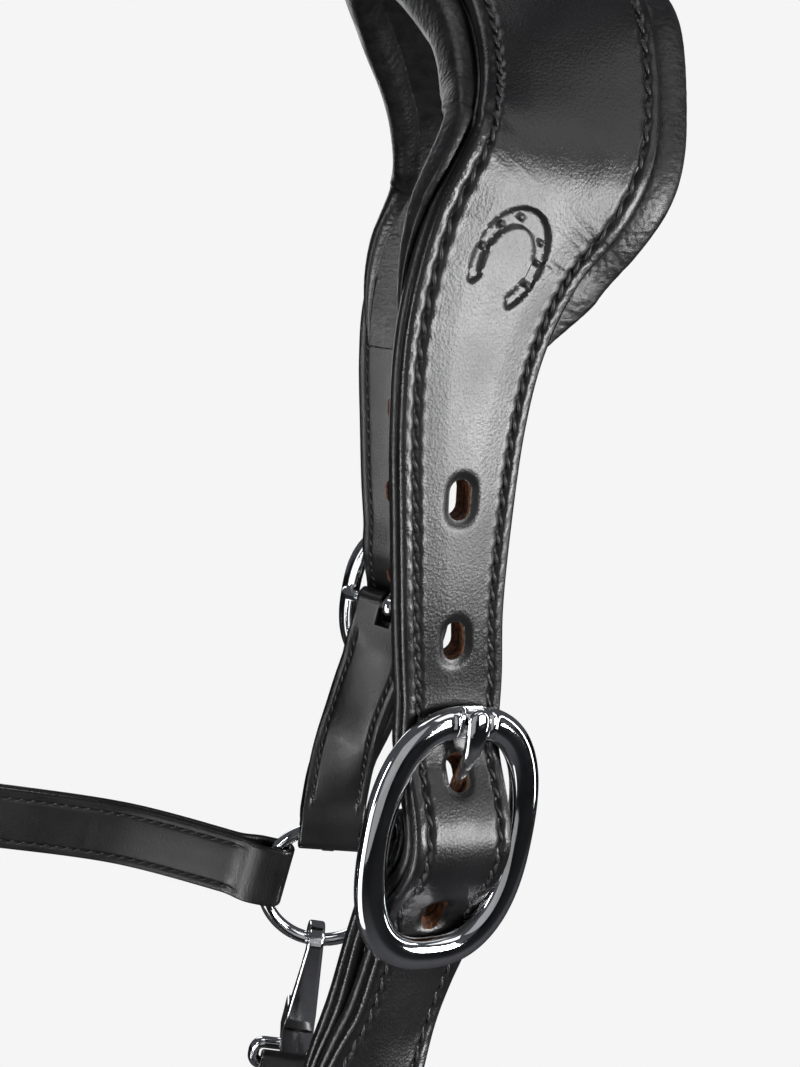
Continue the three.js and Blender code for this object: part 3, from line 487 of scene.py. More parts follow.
def hole_cutter(p, w, u, n, width=HOLE_WIDTH, length=HOLE_LENGTH):
    """An oblong prism through a strap at p, long along u."""
    run = (length - width) / 2
    q = np.linspace(0, np.pi, 9)
    x = np.concatenate([np.cos(q), np.cos(q + np.pi)]) * width / 2
    y = np.concatenate([np.sin(q) * width / 2 + run, np.sin(q + np.pi) * width / 2 - run])
    c = len(x)
    points = np.vstack([p + np.outer(x, w) + np.outer(y, u) + n * d for d in (-9, 9)])
    sides = [[i, (i + 1) % c, (i + 1) % c + c, i + c] for i in range(c)]
    faces = [*sides, list(range(c - 1, -1, -1)), list(range(c, 2 * c))]
    if np.dot(np.cross(w, u), n) < 0:
        faces = [g[::-1] for g in faces]
    return points, faces


def box_cutter(p, axes, sizes):
    corners = np.array([[x, y, z] for z in (-0.5, 0.5) for y in (-0.5, 0.5) for x in (-0.5, 0.5)]) * sizes
    points = p + corners @ np.array(axes)
    faces = [[0, 2, 3, 1], [4, 5, 7, 6], [0, 1, 5, 4], [2, 6, 7, 3], [0, 4, 6, 2], [1, 3, 7, 5]]
    if np.linalg.det(np.array(axes)) < 0:
        faces = [g[::-1] for g in faces]
    return points, faces


def walls_of(cutters):
    """Which faces lie on a cut's wall: near a cutter's middle line and facing across it."""
    def inside(centres, normals):
        found = np.zeros(len(centres), bool)
        for p, w, u, n in cutters:
            d = centres - p
            a, b, c = d @ w, d @ u, d @ n
            run = (HOLE_LENGTH - HOLE_WIDTH) / 2
            q = np.hypot(a, np.maximum(abs(b) - run, 0))
            found |= (q < HOLE_WIDTH / 2 + 0.12) & (abs(c) < 9) & (abs(normals @ n) < 0.6)
        return found
    return inside


def oblong(s, w, s0):
    """Distance outside an oblong hole's rim at (s, w)."""
    run = (HOLE_LENGTH - HOLE_WIDTH) / 2
    return np.maximum(np.hypot(w, np.maximum(abs(s - s0) - run, 0)) - HOLE_WIDTH / 2, 0)

# ---------------------------------------------------------------- folded straps

def seam_relief(s, w, edge, first=0.0):
    """The groove a seam lies in, with a slanted pit at each stitch and soft lips beside it."""
    off = edge - INSET
    phase = 2 * np.pi * (s - first + 0.55 * np.sign(w) * off) / PITCH
    pits = (0.5 - 0.5 * np.cos(phase)) ** 1.5
    return (-0.34 * bump(off, 0.62) - 0.62 * bump(off, 0.75) * pits
            + 0.12 * bump(off - 1.25, 0.5) * (1 - pits) + 0.12 * bump(off + 1.25, 0.5) * (1 - pits))


def folded(name, points, wide, outside, start, end, half_at=None, slots=(), holes=(), sewn_gap=0.45, step=1.6):
    """A strap turned back on itself round a wire at its start, and at its end too unless that is open."""
    rows = evenly(np.hstack([points, np.broadcast_to(wide, np.shape(points))]), step)
    f = frames_along(rows[:, :3], rows[:, 3:])
    if f.n[len(f.p) // 2] @ outside < 0:
        f = frames_along(rows[:, :3], -rows[:, 3:])
    total, closed = f.s[-1], (LAYER + GAP) / 2

    def apart(d):
        out = closed + (start[0] - closed) * fade(d - start[1], start[2])
        return out + ((end[0] - closed) * fade(total - d - end[1], end[2]) if end else 0)

    half = apart(f.s)
    turn = np.linspace(0, np.pi, 15)[1:-1]
    joint = int(np.argmax(f.s > total * 0.55)) if end else len(f.p) - 1
    back = [f.p[i] - f.n[i] * half[i] for i in range(joint, -1, -1)]
    where, face, width = list(f.s[joint::-1]), [-1] * (joint + 1), list(f.w[joint::-1])
    for a in turn:
        back.append(f.p[0] - f.n[0] * half[0] * math.cos(a) - f.t[0] * half[0] * math.sin(a))
        where, face, width = where + [0], face + [0], width + [f.w[0]]
    for i in range(len(f.p)):
        back.append(f.p[i] + f.n[i] * half[i])
        where, face, width = where + [f.s[i]], face + [1], width + [f.w[i]]
    if end:
        for a in turn:
            back.append(f.p[-1] + f.n[-1] * half[-1] * math.cos(a) + f.t[-1] * half[-1] * math.sin(a))
            where, face, width = where + [total], face + [0], width + [f.w[-1]]
        for i in range(len(f.p) - 1, joint, -1):
            back.append(f.p[i] - f.n[i] * half[i])
            where, face, width = where + [f.s[i]], face + [-1], width + [f.w[i]]
    where, face = np.array(where), np.array(face)
    loop = end is not None
    layer = frames_along(np.array(back), np.array(width), loop)
    wide_half = np.array([half_at(d, total) if half_at else STRAP / 2 for d in where])
    close = (np.array([apart(d) for d in where]) < closed + sewn_gap) & (face != 0)
    if half_at:
        close &= wide_half > STRAP / 2 - 0.3
    sewn = np.convolve(close.astype(float), np.ones(3) / 3, "same")[:, None]

    spots = []
    for p, _ in holes:
        outer = np.where(face == 1)[0]
        spots.append(layer.s[outer[np.argmin(np.linalg.norm(layer.p[outer] - p, axis=1))]])

    def relief(w, edge):
        lift = sewn * (-0.6 * bump(edge - INSET, 0.6) + 0.3 * np.clip((edge - INSET) / 5, 0, 1))
        for s0 in spots:
            lift = lift - 0.6 * np.exp(-((oblong(layer.s[:, None], w, s0) / 1.5) ** 2))
        return lift

    points_, faces_, edge = slab(layer, wide_half, -LAYER / 2, LAYER / 2, relief, closed=loop)
    obj = piece(name, points_, faces_, LEATHER, node=name, sharp=40, edge=edge, more=(RAW,))
    cutters, walls = [*slots], []
    for p, u in holes:
        i = int(np.argmin(np.linalg.norm(f.p - p, axis=1)))
        cutters.append(hole_cutter(p, f.w[i], unit(np.cross(f.n[i], f.w[i])), f.n[i]))
        walls.append((p, f.w[i], unit(np.cross(f.n[i], f.w[i])), f.n[i]))
    if cutters:
        cut(obj, cutters, walls_of(walls) if walls else None)
    runs = np.split(np.arange(len(where)), np.where(np.diff(close.astype(int)) != 0)[0] + 1)
    places = []
    for run in runs:
        if close[run[0]] and len(run) > 6:
            a, b = layer.s[run[0]] + 0.4 * PITCH, layer.s[run[-1]] - 0.4 * PITCH
            places.append(np.arange(a, b, PITCH))
    if places:
        both = np.concatenate(places)
        for side in (-1, 1):
            stitches(f"{name}_stitches_{'a' if side < 0 else 'b'}", layer, both, side * (wide_half - INSET),
                     np.full(len(where), LAYER / 2 - 0.12), name)
    return f


WIRE_EYE = (WIRE_RADIUS + GAP + LAYER / 2, EYE_FLAT, EYE_RUN)
BAIL_EYE = (BAR_RADIUS + 2 * GAP + LAYER / 2 + 0.1, 0, 16)
BAR_EYE = (BAR_RADIUS + GAP + LAYER / 2, 0, CHAPE_REACH)
STRAP_EYE = (LAYER + GAP / 2 + LOOP_SLACK + LAYER / 2, STRAP + 2, EYE_RUN)

# ---------------------------------------------------------------- oval buckles

def oval_buckle(name, b):
    a, h = (BUCKLE_WIDTH - BUCKLE_BAND) / 2, (BUCKLE_HEIGHT - BUCKLE_BAND) / 2
    q = 2 * np.pi * np.arange(224) / 224
    x = a * np.sign(np.cos(q)) * abs(np.cos(q)) ** 0.8
    y = h * np.sign(np.sin(q)) * abs(np.sin(q)) ** 0.8
    f = frames_along(np.stack([x, y, 0 * x], 1), Z, True)
    deep, band = rounded(BUCKLE_DEPTH / 2, BUCKLE_BAND / 2, 40, 2.25)
    points, faces = tube(f, np.tile(deep, (224, 1)), np.tile(band, (224, 1)), True)
    notch = (points[:, 1] > 0) * np.clip(points[:, 2] / 1.2, 0, 1)
    across = abs(points[:, 0])
    points[:, 2] += notch * (0.45 * bump(across - 4.5, 0.9) - 1.25 * fade(across - 2.4, 1.7))
    bend = 3.0
    u = [[-a, 0, 1], [-a, 0, BAR_DEPTH + bend], [-a + 0.9, 0, BAR_DEPTH + 0.9], [-a + bend, 0, BAR_DEPTH]]
    u = u + [[-x0, y0, z0] for x0, y0, z0 in u[::-1]]
    path = evenly(centripetal(u, 16), 0.8)
    swell = 2.05 + 0.5 * bump(abs(path[:, 0]) - a, 1.8)
    bar = wire(path, 1.0, Y, radii=swell)
    points, faces = joined((points, faces), bar)
    p = placed(points, b)
    if volume(p, faces[:, :4]) < 0:
        faces = faces[:, ::-1]
    piece(name, p, faces, CHROME, node=name)


def claw_tongue(name, b):
    """The tongue's eye round the bar, and the arm that rises through the hole and widens to its tip."""
    route = [[0, 3.1, BAR_DEPTH + 1.2], [0, 8, BAR_DEPTH + 2.9], [0, 15, -0.4], [0, 21, 2.5], [0, 26, 3.15],
             [0, 30.8, 2.9]]
    path = evenly(centripetal(route, 30), 0.35)
    s = lengths(path)
    left = s[-1] - s
    end = np.sqrt(1 - (1 - np.clip(left / 2.5, 0.02, 1)) ** 2)
    wide = np.interp(s, [0, 6, 14, 20, 25, s[-1]], [1.7, 1.45, 1.5, 2.2, 2.75, 2.85]) * end
    thick = np.interp(s, [0, 6, 14, 20, s[-1]], [1.15, 1.1, 1.15, 1.3, 1.25]) * np.sqrt(end)
    f = frames_along(path, X)
    a, c = rounded(1, 1, 24, 2.3)
    arm = tube(f, wide[:, None] * a, thick[:, None] * c)
    q = 2 * np.pi * np.arange(48) / 48
    loop = np.stack([0 * q, 3.45 * np.cos(q), BAR_DEPTH + 3.45 * np.sin(q)], 1)
    g = frames_along(loop, X, True)
    a, c = rounded(2.1, 1.05, 20, 2.6)
    eye = tube(g, np.tile(a, (48, 1)), np.tile(c, (48, 1)), True)
    points, faces = joined(arm, eye)
    p = placed(points, b)
    if volume(p, faces) < 0:
        faces = faces[:, ::-1]
    piece(name, p, faces, CHROME, node=name)


# ---------------------------------------------------------------- crown

CHEEK_PIECE = 97.2
cheek_bend = [on_buckle(crown_buckle, -22, CHAPE_DEPTH), on_buckle(crown_buckle, -47, CHAPE_DEPTH) - 5 * Y,
              THROAT_RING + eye_up * (EYE_CENTRE + 25), THROAT_RING + eye_up * EYE_CENTRE]


def cheek_piece_station(drop):
    """Middle and width direction of the left cheek piece, from the buckle's bar down to its eye on the ring."""
    if drop <= 22:
        return on_buckle(crown_buckle, -drop, chape_depth(drop)), back_across
    t = (drop - 22) / (CHEEK_PIECE - 22)
    shares = ((1 - t) ** 3, 3 * t * (1 - t) ** 2, 3 * t * t * (1 - t), t**3)
    p = sum(k * q for k, q in zip(shares, cheek_bend))
    angle = math.radians(8) * math.sin(math.pi * min(max((drop - 20) / 50, 0), 1)) ** 2
    turned = back_across * math.cos(angle) + np.cross(buckle_up, back_across) * math.sin(angle)
    turned = turned + buckle_up * (buckle_up @ back_across) * (1 - math.cos(angle))
    k = 1 - float(fade(drop - 40, 45))
    return p, unit(turned * (1 - k) + eye_back * k)


# middle of the crown from the poll to the left buckle: place, turn of the width, its slope, half width,
# and how far the front and rear rolls stand out past the leather and how full they are
CROWN = [
    ((0, 0, 8.4), 0, 0.02, 20.5, 7, 9.5, 0.8), ((17, 1.5, 6.6), 3, 0.03, 20.5, 7, 9.5, 0.8),
    ((34, 6, 0.8), 6, 0.04, 20.5, 7, 9.5, 0.8), ((50, 12, -9.5), 9, 0.05, 20.5, 7, 9.7, 0.78),
    ((65.8, 17, -23.1), 13, 0.05, 20.4, 6.5, 10, 0.74), ((76.8, 17.7, -41.5), 18, 0.03, 20.2, 5.6, 9.4, 0.68),
    ((83.6, 13.5, -55.4), 21, 0.01, 20, 4.2, 8.8, 0.6), ((86.5, 3.8, -71), 23, -0.02, 18.6, 2.4, 9.4, 0.47),
    ((87.5, -2.4, -88), 24, -0.05, 17, 0.7, 6.2, 0.3), ((87.7, -5.3, -106), 24, -0.08, 15.3, -0.4, -0.4, 0.1),
    ((87.6, -6.6, -128), 24, -0.12, 13.7, -0.4, -0.4, 0.1),
    ((87.2, -7.2, -148), 24, -0.17, 12.7, -0.4, -0.4, 0.1),
]
NO_ROLL = (-0.4, -0.4, 0.1)


def crown_half():
    rows = []
    for p, back, rise, half, *roll in CROWN:
        w = unit([-math.sin(math.radians(back)), math.cos(math.radians(back)), rise])
        rows.append([*p, *w, half, *roll])
    for height in [34, *BAR_STEPS[::-1], 0, *[-x for x in BAR_STEPS]]:
        middle = on_buckle(crown_buckle, height, billet_depth(height)) + back_across * billet_shift(height)
        rows.append([*middle, *back_across, 12.5, *NO_ROLL])
    for drop, half in [(36, 12.5), (46, 12.5), (56, 12.5), (66, 12.5), (76, 12.5), (86, 12.5), (94, 12.5),
                       (99, 10), (103, 6.5), (107, 2.4)]:
        at = min(drop, CHEEK_PIECE)
        (p0, w0), (p1, w1) = cheek_piece_station(at - 2), cheek_piece_station(at)
        t = unit(p1 - p0)
        w = unit(w1 - t * (w1 @ t))
        n = np.cross(w, t)
        n = n if n[0] > 0 else -n
        lift = BILLET_DEPTH - CHAPE_DEPTH + (CHAPE_DEPTH - EYE_DEPTH) * (1 - float(fade(drop - 40, 42)))
        shift = billet_shift(-drop) * float(fade(drop - 26, 30))
        rows.append([*(p1 + n * lift + t * (drop - at) + w * shift), *w, half, *NO_ROLL])
    return np.array(rows)


left = crown_half()
flip = np.array([-1, 1, 1, -1, 1, 1, 1, 1, 1, 1])
# the right half's width keeps its direction along the row, so x of both place and width turn over
all_rows = np.vstack([left[::-1], left[1:] * flip])
fine = spline(all_rows, np.linspace(0, len(all_rows) - 1, 60 * (len(all_rows) - 1) + 1))
total = lengths(fine)[-1]
s_all = np.linspace(0, total, round(total / 0.7) + 1)
rough_frames = at_lengths(fine, s_all)


def crown_place(height, side):
    """Length along the crown where its middle passes a height on one side."""
    rows = np.where(rough_frames[:, 0] * side > 60)[0]
    return s_all[rows[np.argmin(abs(rough_frames[rows, 2] - height))]]


first_hole = BUCKLE_CENTRE[2] + TONGUE_HOLE
hole_places = {side: [crown_place(first_hole + HOLE_PITCH * k, side) for k in (-1, 0, 1, 2)]
               for side in (1, -1)}
stamp_place = hole_places[1][3] + 49.5
stamp_span = s_all[(s_all > stamp_place - 17) & (s_all < stamp_place + 17)]
s_crown = np.unique(np.concatenate([s_all, np.arange(stamp_span[0], stamp_span[-1], 0.42)]).round(3))
s_crown = s_crown[np.concatenate([[True], np.diff(s_crown) > 0.12])]
rows = at_lengths(fine, s_crown)
crown = frames_along(rows[:, :3], rows[:, 3:6])
crown.s = s_crown
crown.half = rows[:, 6]
if crown.n[len(crown.p) // 2, 2] < 0:
    raise ValueError("crown is inside out")


def horseshoe(s, w):
    """Depth, 0 to 1, of a plain horseshoe stamped across the strap's middle, with a raised nail at each hole."""
    x, y = w, s - stamp_place
    c, d = math.cos(0.2), math.sin(0.2)
    x, y = x * c - y * d, x * d + y * c
    rx, ry = 6.6, 9.6
    angle = np.arctan2(y / ry, x / rx)
    radius = np.hypot(x / rx, y / ry)
    away = abs(radius - 1) * (rx + ry) / 2
    turned = abs(np.angle(np.exp(1j * (angle - math.pi / 2))))
    shoe = np.clip((1.75 + 0.25 * np.cos(turned) - away) / 0.55, 0, 1)
    shoe = shoe * np.clip((2.42 - turned) / 0.07, 0, 1)
    for k in (-3, -2, -1, 1, 2, 3):
        a = math.pi / 2 + k * 0.56
        nail = np.hypot(x - rx * math.cos(a), y - ry * math.sin(a))
        shoe = shoe - 0.75 * np.clip((0.8 - nail) / 0.4, 0, 1) * (shoe > 0)
    return shoe


def crown_relief(w, edge):
    s = crown.s[:, None]
    lift = seam_relief(s, w, edge) + 0.45 * np.clip((edge - INSET) / 7, 0, 1) ** 0.8
    for side in (1, -1):
        for s0 in hole_places[side]:
            away = oblong(s, w, s0)
            lift = lift - 0.8 * np.exp(-((away / 1.1) ** 2))
    return lift - 0.62 * horseshoe(s, w)


def crown_under(w, edge):
    return 0.2 * np.clip((edge - INSET) / 7, 0, 1) - 0.4 * bump(edge - INSET, 0.5)


def crown_cutters():
    cutters, walls = [], []
    for side in (1, -1):
        for s0 in hole_places[side]:
            i = int(np.argmin(abs(crown.s - s0)))
            p, w, n = crown.p[i], crown.w[i], crown.n[i]
            u = unit(np.cross(n, w))
            cutters.append(hole_cutter(p, w, u, n))
            walls.append((p, w, u, n))
    return cutters, walls


top = GAP / 2 + CROWN_LAYER
points, faces, edge = slab(crown, crown.half, GAP / 2, top, crown_relief, core=44, radius=1.35)
obj = piece("crown_strap", points, faces, LEATHER, node="crown_strap", edge=edge, more=(RAW,))
cutters, walls = crown_cutters()
cut(obj, cutters, walls_of(walls))

keep = np.unique(np.searchsorted(crown.s, s_all).clip(0, len(crown.s) - 1))
lining = SimpleNamespace(**{k: v[keep] for k, v in vars(crown).items()})
points, faces, edge = slab(lining, lining.half, -top, -GAP / 2, None, crown_under, core=12, radius=1.3)
obj = piece("crown_lining", points, faces, LINING, node="crown_lining", edge=edge, more=(RAW,))
cut(obj, cutters, walls_of(walls))

places = PITCH * np.arange(4, int(crown.s[-1] / PITCH) - 3)
for side, label in ((-1, "rear"), (1, "front")):
    line = side * (crown.half - INSET)
    stitches(f"crown_strap_stitches_{label}", crown, places, line, np.full(len(line), top - 0.16),
             "crown_strap")
under = SimpleNamespace(p=lining.p, t=lining.t, w=-lining.w, n=-lining.n, s=lining.s)
bare = places[np.interp(places, crown.s, crown.p[:, 2]) < -100]
for side, label in ((-1, "front"), (1, "rear")):
    line = side * (lining.half - INSET)
    stitches(f"crown_lining_stitches_{label}", under, bare, line, np.full(len(line), top - 0.2),
             "crown_lining")


def wrinkles(s, around):
    """Fine cross wrinkles of soft leather pulled round a roll: height in millimetres."""
    seeded = np.random.default_rng(11)
    total = np.zeros(np.broadcast(s, around).shape)
    for k in range(18):
        length, slow = seeded.uniform(1.8, 4.6), seeded.uniform(12, 30)
        lean, phase, other = seeded.uniform(-0.9, 0.9), seeded.uniform(0, 6.28), seeded.uniform(0, 6.28)
        swell = np.clip(np.sin(2 * np.pi * s / slow + 11 * around + other), 0, 1)
        total = total + swell * np.sin(2 * np.pi * s / length + lean * around * 14 + phase) / 12
    return total


def padding(name, f, outline, ends):
    """Padded rolls beside a channel: a closed soft section swept along a strap, fading out over both ends."""
    ease = np.sin(0.5 * np.pi * np.clip((np.minimum(f.s - f.s[0], f.s[-1] - f.s) + 0.3) / ends, 0, 1)) ** 0.8
    rings = []
    for i in range(len(f.p)):
        loop = np.array(outline(i, ease[i]))
        rings.append(spline(loop, np.linspace(0, len(loop) - 1, 3 * (len(loop) - 1) + 1)[:-1]))
    rings = np.array(rings)
    across, outward = rings[..., 0], rings[..., 1]
    da, dn = np.gradient(across, axis=1), np.gradient(outward, axis=1)
    size = np.hypot(da, dn) + 1e-9
    turn = np.sign((across * np.roll(outward, -1, 1) - np.roll(across, -1, 1) * outward).sum(1))[:, None]
    on_roll = np.clip(abs(across) / 8 - 0.7, 0, 1) * ease[:, None]
    puff = (0.13 * wrinkles(f.s[:, None], np.linspace(0, 1, across.shape[1])[None])
            + 0.16 * np.sin(2 * np.pi * f.s / 37)[:, None]) * on_roll
    points, faces = tube(f, across + dn / size * turn * puff, outward - da / size * turn * puff)
    obj = piece(name, points, faces, PAD, node=name)
    return obj


PAD_TOP = -(CROWN_LAYER + 1.5 * GAP)
keep = np.where(rows[:, 2] > -103)[0]
s_pad = np.arange(crown.s[keep[0]], crown.s[keep[-1]], 0.7)
pad_rows = at_lengths(fine, s_pad)
pad = frames_along(pad_rows[:, :3], pad_rows[:, 3:6])
pad.s, pad.half, pad.roll = s_pad, pad_rows[:, 6], pad_rows[:, 7:]


def crown_roll(i, ease, out):
    """Half outline of the pad, from the top's middle round one roll to the underside's middle."""
    full = pad.roll[i, 2] * (0.35 + 0.65 * ease)
    b = (pad.half[i] + out * ease) * (0.7 + 0.3 * ease)
    a = min(pad.half[i] + GAP, b - 0.4)
    rise = min(max((out * ease - 0.8) / 2, 0), 1)
    shoulder = PAD_TOP + 3.6 * min(full / 0.5, 1) * rise
    deep = PAD_TOP - 9.4 * full
    web = PAD_TOP - 2.9 * full * ease
    return [[0, PAD_TOP], [a * 0.6, PAD_TOP], [a - 0.6, PAD_TOP], [a, PAD_TOP + 0.35 * (shoulder - PAD_TOP)],
            [a + 0.12, shoulder - 0.2 * rise], [a + 0.35 * (b - a), shoulder + 0.3 * full * rise],
            [b - 0.15 * (b - a), shoulder - 1.2 * full * rise], [b, PAD_TOP - 2.8 * full],
            [b - 0.7 * full, deep + 3.4 * full],
            [b - 2.9 * full, deep + 0.9 * full], [b - 6 * full, deep], [b - 9 * full, deep + 1.2 * full],
            [b - 11.6 * full, web - 2.2 * full], [b - 12.8 * full, web - 0.2 * full], [b - 15 * full, web],
            [(b - 15 * full) * 0.5, web], [0, web]]


def crown_pad_outline(i, ease):
    front = [[-w, n] for w, n in crown_roll(i, ease, pad.roll[i, 0])]
    return front[:0:-1] + crown_roll(i, ease, pad.roll[i, 1])


padding("crown_pad", pad, crown_pad_outline, 34)

# ---------------------------------------------------------------- both cheeks

for side, label in ((1, "left"), (-1, "right")):
    onto = (lambda v: np.asarray(v, float)) if side > 0 else mirror
    b = crown_buckle if side > 0 else mirrored(crown_buckle)
    oval_buckle(f"crown_buckle_{label}", b)
    claw_tongue(f"crown_tongue_{label}", b)
    drops = [0, *BAR_STEPS, *range(30, 96, 4), CHEEK_PIECE]
    stations = [cheek_piece_station(d) for d in drops]
    slot_box = box_cutter(on_buckle(b, 1, BAR_DEPTH), (b.w, b.u, b.n), (6, 15, 16))
    middles, turns = (np.array([onto(v) for v in row]) for row in zip(*stations))
    folded(f"cheek_piece_{label}", middles, turns,
           onto(X), BAR_EYE, WIRE_EYE, slots=[slot_box])
    for ring, centre in (("throat", THROAT_RING), ("nose", nose_ring)):
        c = onto(centre)
        q = 2 * np.pi * np.arange(144) / 144
        circle = c + RING_RADIUS * np.stack([0 * q, np.cos(q), np.sin(q)], 1)
        points, faces = wire(circle, WIRE_RADIUS, X, True, 28)
        piece(f"{ring}_ring_{label}", points, faces, CHROME, node=f"{ring}_ring_{label}")
    a = onto(THROAT_RING + cheek_forward * EYE_CENTRE)
    z = onto(nose_ring - cheek_forward * EYE_CENTRE)
    line = [a, a + cheek_forward * 9, a + cheek_forward * 62 + onto([5, 0, 0]), z - cheek_forward * 9, z]
    folded(f"cheek_strap_{label}", centripetal(line), nose_up, onto(X), WIRE_EYE, WIRE_EYE)

# ---------------------------------------------------------------- noseband

def on_nose(x, h):
    return np.array([x, nose_ring[1], nose_ring[2]]) + nose_up * h


def on_throat(x, drop):
    return np.array([x, THROAT_RING[1], THROAT_RING[2]]) - ring_up * drop


arch = [(84, EYE_CENTRE), (84, 32), (83, 50), (77, 70), (64, 87), (44, 99), (22, 104.5)]
nose_line = centripetal([on_nose(x, h) for x, h in [*arch, (0, 106), *[(-x, h) for x, h in arch[::-1]]]])
folded("noseband", nose_line, cheek_forward, Z, WIRE_EYE, WIRE_EYE)

nose_rows = evenly(nose_line, 0.8)
f = frames_along(nose_rows, cheek_forward)
if f.n[len(f.p) // 2, 2] < 0:
    f = frames_along(nose_rows, -cheek_forward)
cut_off = 6 / 32 * f.s[-1]
keep = (f.s > cut_off) & (f.s < f.s[-1] - cut_off)
nose_pad = SimpleNamespace(**{k: v[keep] for k, v in vars(f).items()})


def nose_pad_section(i, ease):
    top = -(LAYER + 1.5 * GAP)
    k = 0.3 + 0.7 * ease
    edge, deep = 15.5 + 3 * k, top - 8 * k
    right = [[0, top], [9, top], [14.5, top], [edge - 1.6, top - 0.2], [edge - 0.3, top - 1.6 * k],
             [edge, top - 3.2 * k], [edge - 0.6, top - 5.2 * k], [edge - 2.2, deep + 0.8 * k],
             [edge - 5, deep], [9, deep - 0.2], [4, deep - 0.25], [0, deep - 0.3]]
    return [[-w, n] for w, n in right[:0:-1]] + right


padding("noseband_pad", nose_pad, nose_pad_section, 16)

# ---------------------------------------------------------------- chin, throat and jowl

drops = [0, *BAR_STEPS, 30, 34, CHIN_DROP - EYE_CENTRE]
chape = [on_buckle(chin_buckle, -d, chape_depth(d) + (EYE_DEPTH - CHAPE_DEPTH) * (1 - float(fade(d - 16, 16))))
         for d in drops]
chin_axes = (chin_buckle.w, chin_buckle.u, chin_buckle.n)
slot_box = box_cutter(on_buckle(chin_buckle, 1, BAR_DEPTH), chin_axes, (6, 15, 16))
folded("chin_chape", np.array(chape), cheek_forward, X, BAR_EYE, (WIRE_EYE[0], EYE_FLAT, 10), slots=[slot_box])
oval_buckle("chin_buckle", chin_buckle)
claw_tongue("chin_tongue", chin_buckle)

under_chin = [(-84, -EYE_CENTRE), (-84, -32), (-84, -52), (-82.5, -75), (-76, -100), (-62, -121), (-41, -134),
              (-14, -139.3), (14, -139.3), (40, -137), (63, -130.5), (80, -118.5), (90, -104)]
CHIN_TIP = 46
heights = [*BAR_STEPS[::-1], 0, *[-x for x in BAR_STEPS], -CHIN_TIP + 12, -CHIN_TIP + 6, -CHIN_TIP]
billet = [on_buckle(chin_buckle, h, billet_depth(h)) for h in heights]
run = centripetal([*[on_nose(x, h) for x, h in under_chin], billet[0], billet[1]])
total_run = lengths(run)[-1]
kept = at_lengths(run, np.linspace(0, total_run, 28)[:-2])
chin_points = spline(np.vstack([kept, billet]), np.linspace(0, len(kept) + len(billet) - 1, 500))
tip = lambda d, length: STRAP / 2 if length - d > 12 else 2.2 + (STRAP / 2 - 2.2) * max(length - d, 0) / 12
chin_holes = [(on_buckle(chin_buckle, h, billet_depth(h)), chin_buckle.u)
              for h in (TONGUE_HOLE - HOLE_PITCH, TONGUE_HOLE)]
folded("chin_strap", chin_points, cheek_forward, -Z, WIRE_EYE, None, half_at=tip, holes=chin_holes)

snap_bar = RING_RADIUS + SNAP_LENGTH
under_throat = [(88, EYE_CENTRE), (88, 32), (88, 62), (86, 92), (77, 121), (60, 145), (37, 160.5), (13, 165.8),
                (-13, 165.8), (-38, 159.5), (-60, 145), (-73, 129), (-82, 111), (-87, 95), (-88, snap_bar)]
folded("throat_strap", centripetal([on_throat(x, d) for x, d in under_throat]), ring_back, -Z, WIRE_EYE, BAIL_EYE)

DEE_OFFSET = 19
dee_bar = on_nose(0, -139.3) + cheek_forward * DEE_OFFSET
jowl = [dee_bar - cheek_forward * d for d in (0, 8, 16, 24, 32)]
jowl += [on_throat(0, 165.8) + ring_back * (12.5 - d) for d in (STRAP, 18, 9, 0)]
folded("jowl_strap", centripetal(jowl), X, -Z, (STRAP_EYE[0], DEE_OFFSET + STRAP / 2 + 1, EYE_RUN), STRAP_EYE)

arc = np.linspace(0, np.pi, 40)
dee = [[-16.5, 0, 0], [-8, 0, 0], [0, 0, 0], [8, 0, 0], [16.5, 0, 0]]
dee += [[19.5 * math.cos(q), 0, -6 - 28 * math.sin(q)] for q in arc]
dee = centripetal([*dee, dee[0]], 4)[:-1]
points, faces = wire(dee_bar + dee, WIRE_RADIUS, Y, True, 24)
piece("lead_dee", points, faces, CHROME, node="lead_dee")

# ---------------------------------------------------------------- snap

snap = SimpleNamespace(p=mirror(THROAT_RING) - ring_up * RING_RADIUS, w=-ring_back, u=ring_up, n=-X)


def snap_half(height):
    """Half width of the snap across the strap, at a height under the ring's wire."""
    return float(np.interp(-height, [-8, 4, 11, 20, 30, 40, 46, 52],
                           [3.3, 3.3, 3.1, 4.2, 5.9, 7.2, 7.2, 5.6]))


def snap_outline():
    q = np.radians(np.linspace(100, -90, 30))
    hook = [(7.2 * math.cos(a), 7.2 * math.sin(a)) for a in q]
    outer = [(-4.5, 6.8), *hook, (-31, -7.2), (-40, -6), (-52, -3), (-52, 3), (-44, 6), (-31, 6.6), (-31, -2.8),
             (-4.5, -3.2)]
    q = np.radians(np.linspace(-90, 90, 24))
    return outer + [(3.2 * math.cos(a), 3.2 * math.sin(a)) for a in q] + [(-4.5, 3.4)]


outline = snap_outline()
count = len(outline)
points = np.array([[side * snap_half(h), h, d] for side in (-1, 1) for h, d in outline])
faces = [[i, (i + 1) % count, (i + 1) % count + count, i + count] for i in range(count)]
faces += [list(range(count - 1, -1, -1)), list(range(count, 2 * count))]
p = placed(points, snap)
body = piece("throat_snap", p, faces, CHROME, node="throat_snap", sharp=50)
body.data.flip_normals()
gate_slot = box_cutter(snap.p - snap.u * 36 + snap.n * 3.7, (snap.w, snap.u, snap.n), (4.4, 18, 12))
cut(body, [gate_slot], sharp=50)
bevel = body.modifiers.new("rounding", "BEVEL")
bevel.width, bevel.segments, bevel.limit_method, bevel.angle_limit = 0.0017, 5, "ANGLE", math.radians(40)

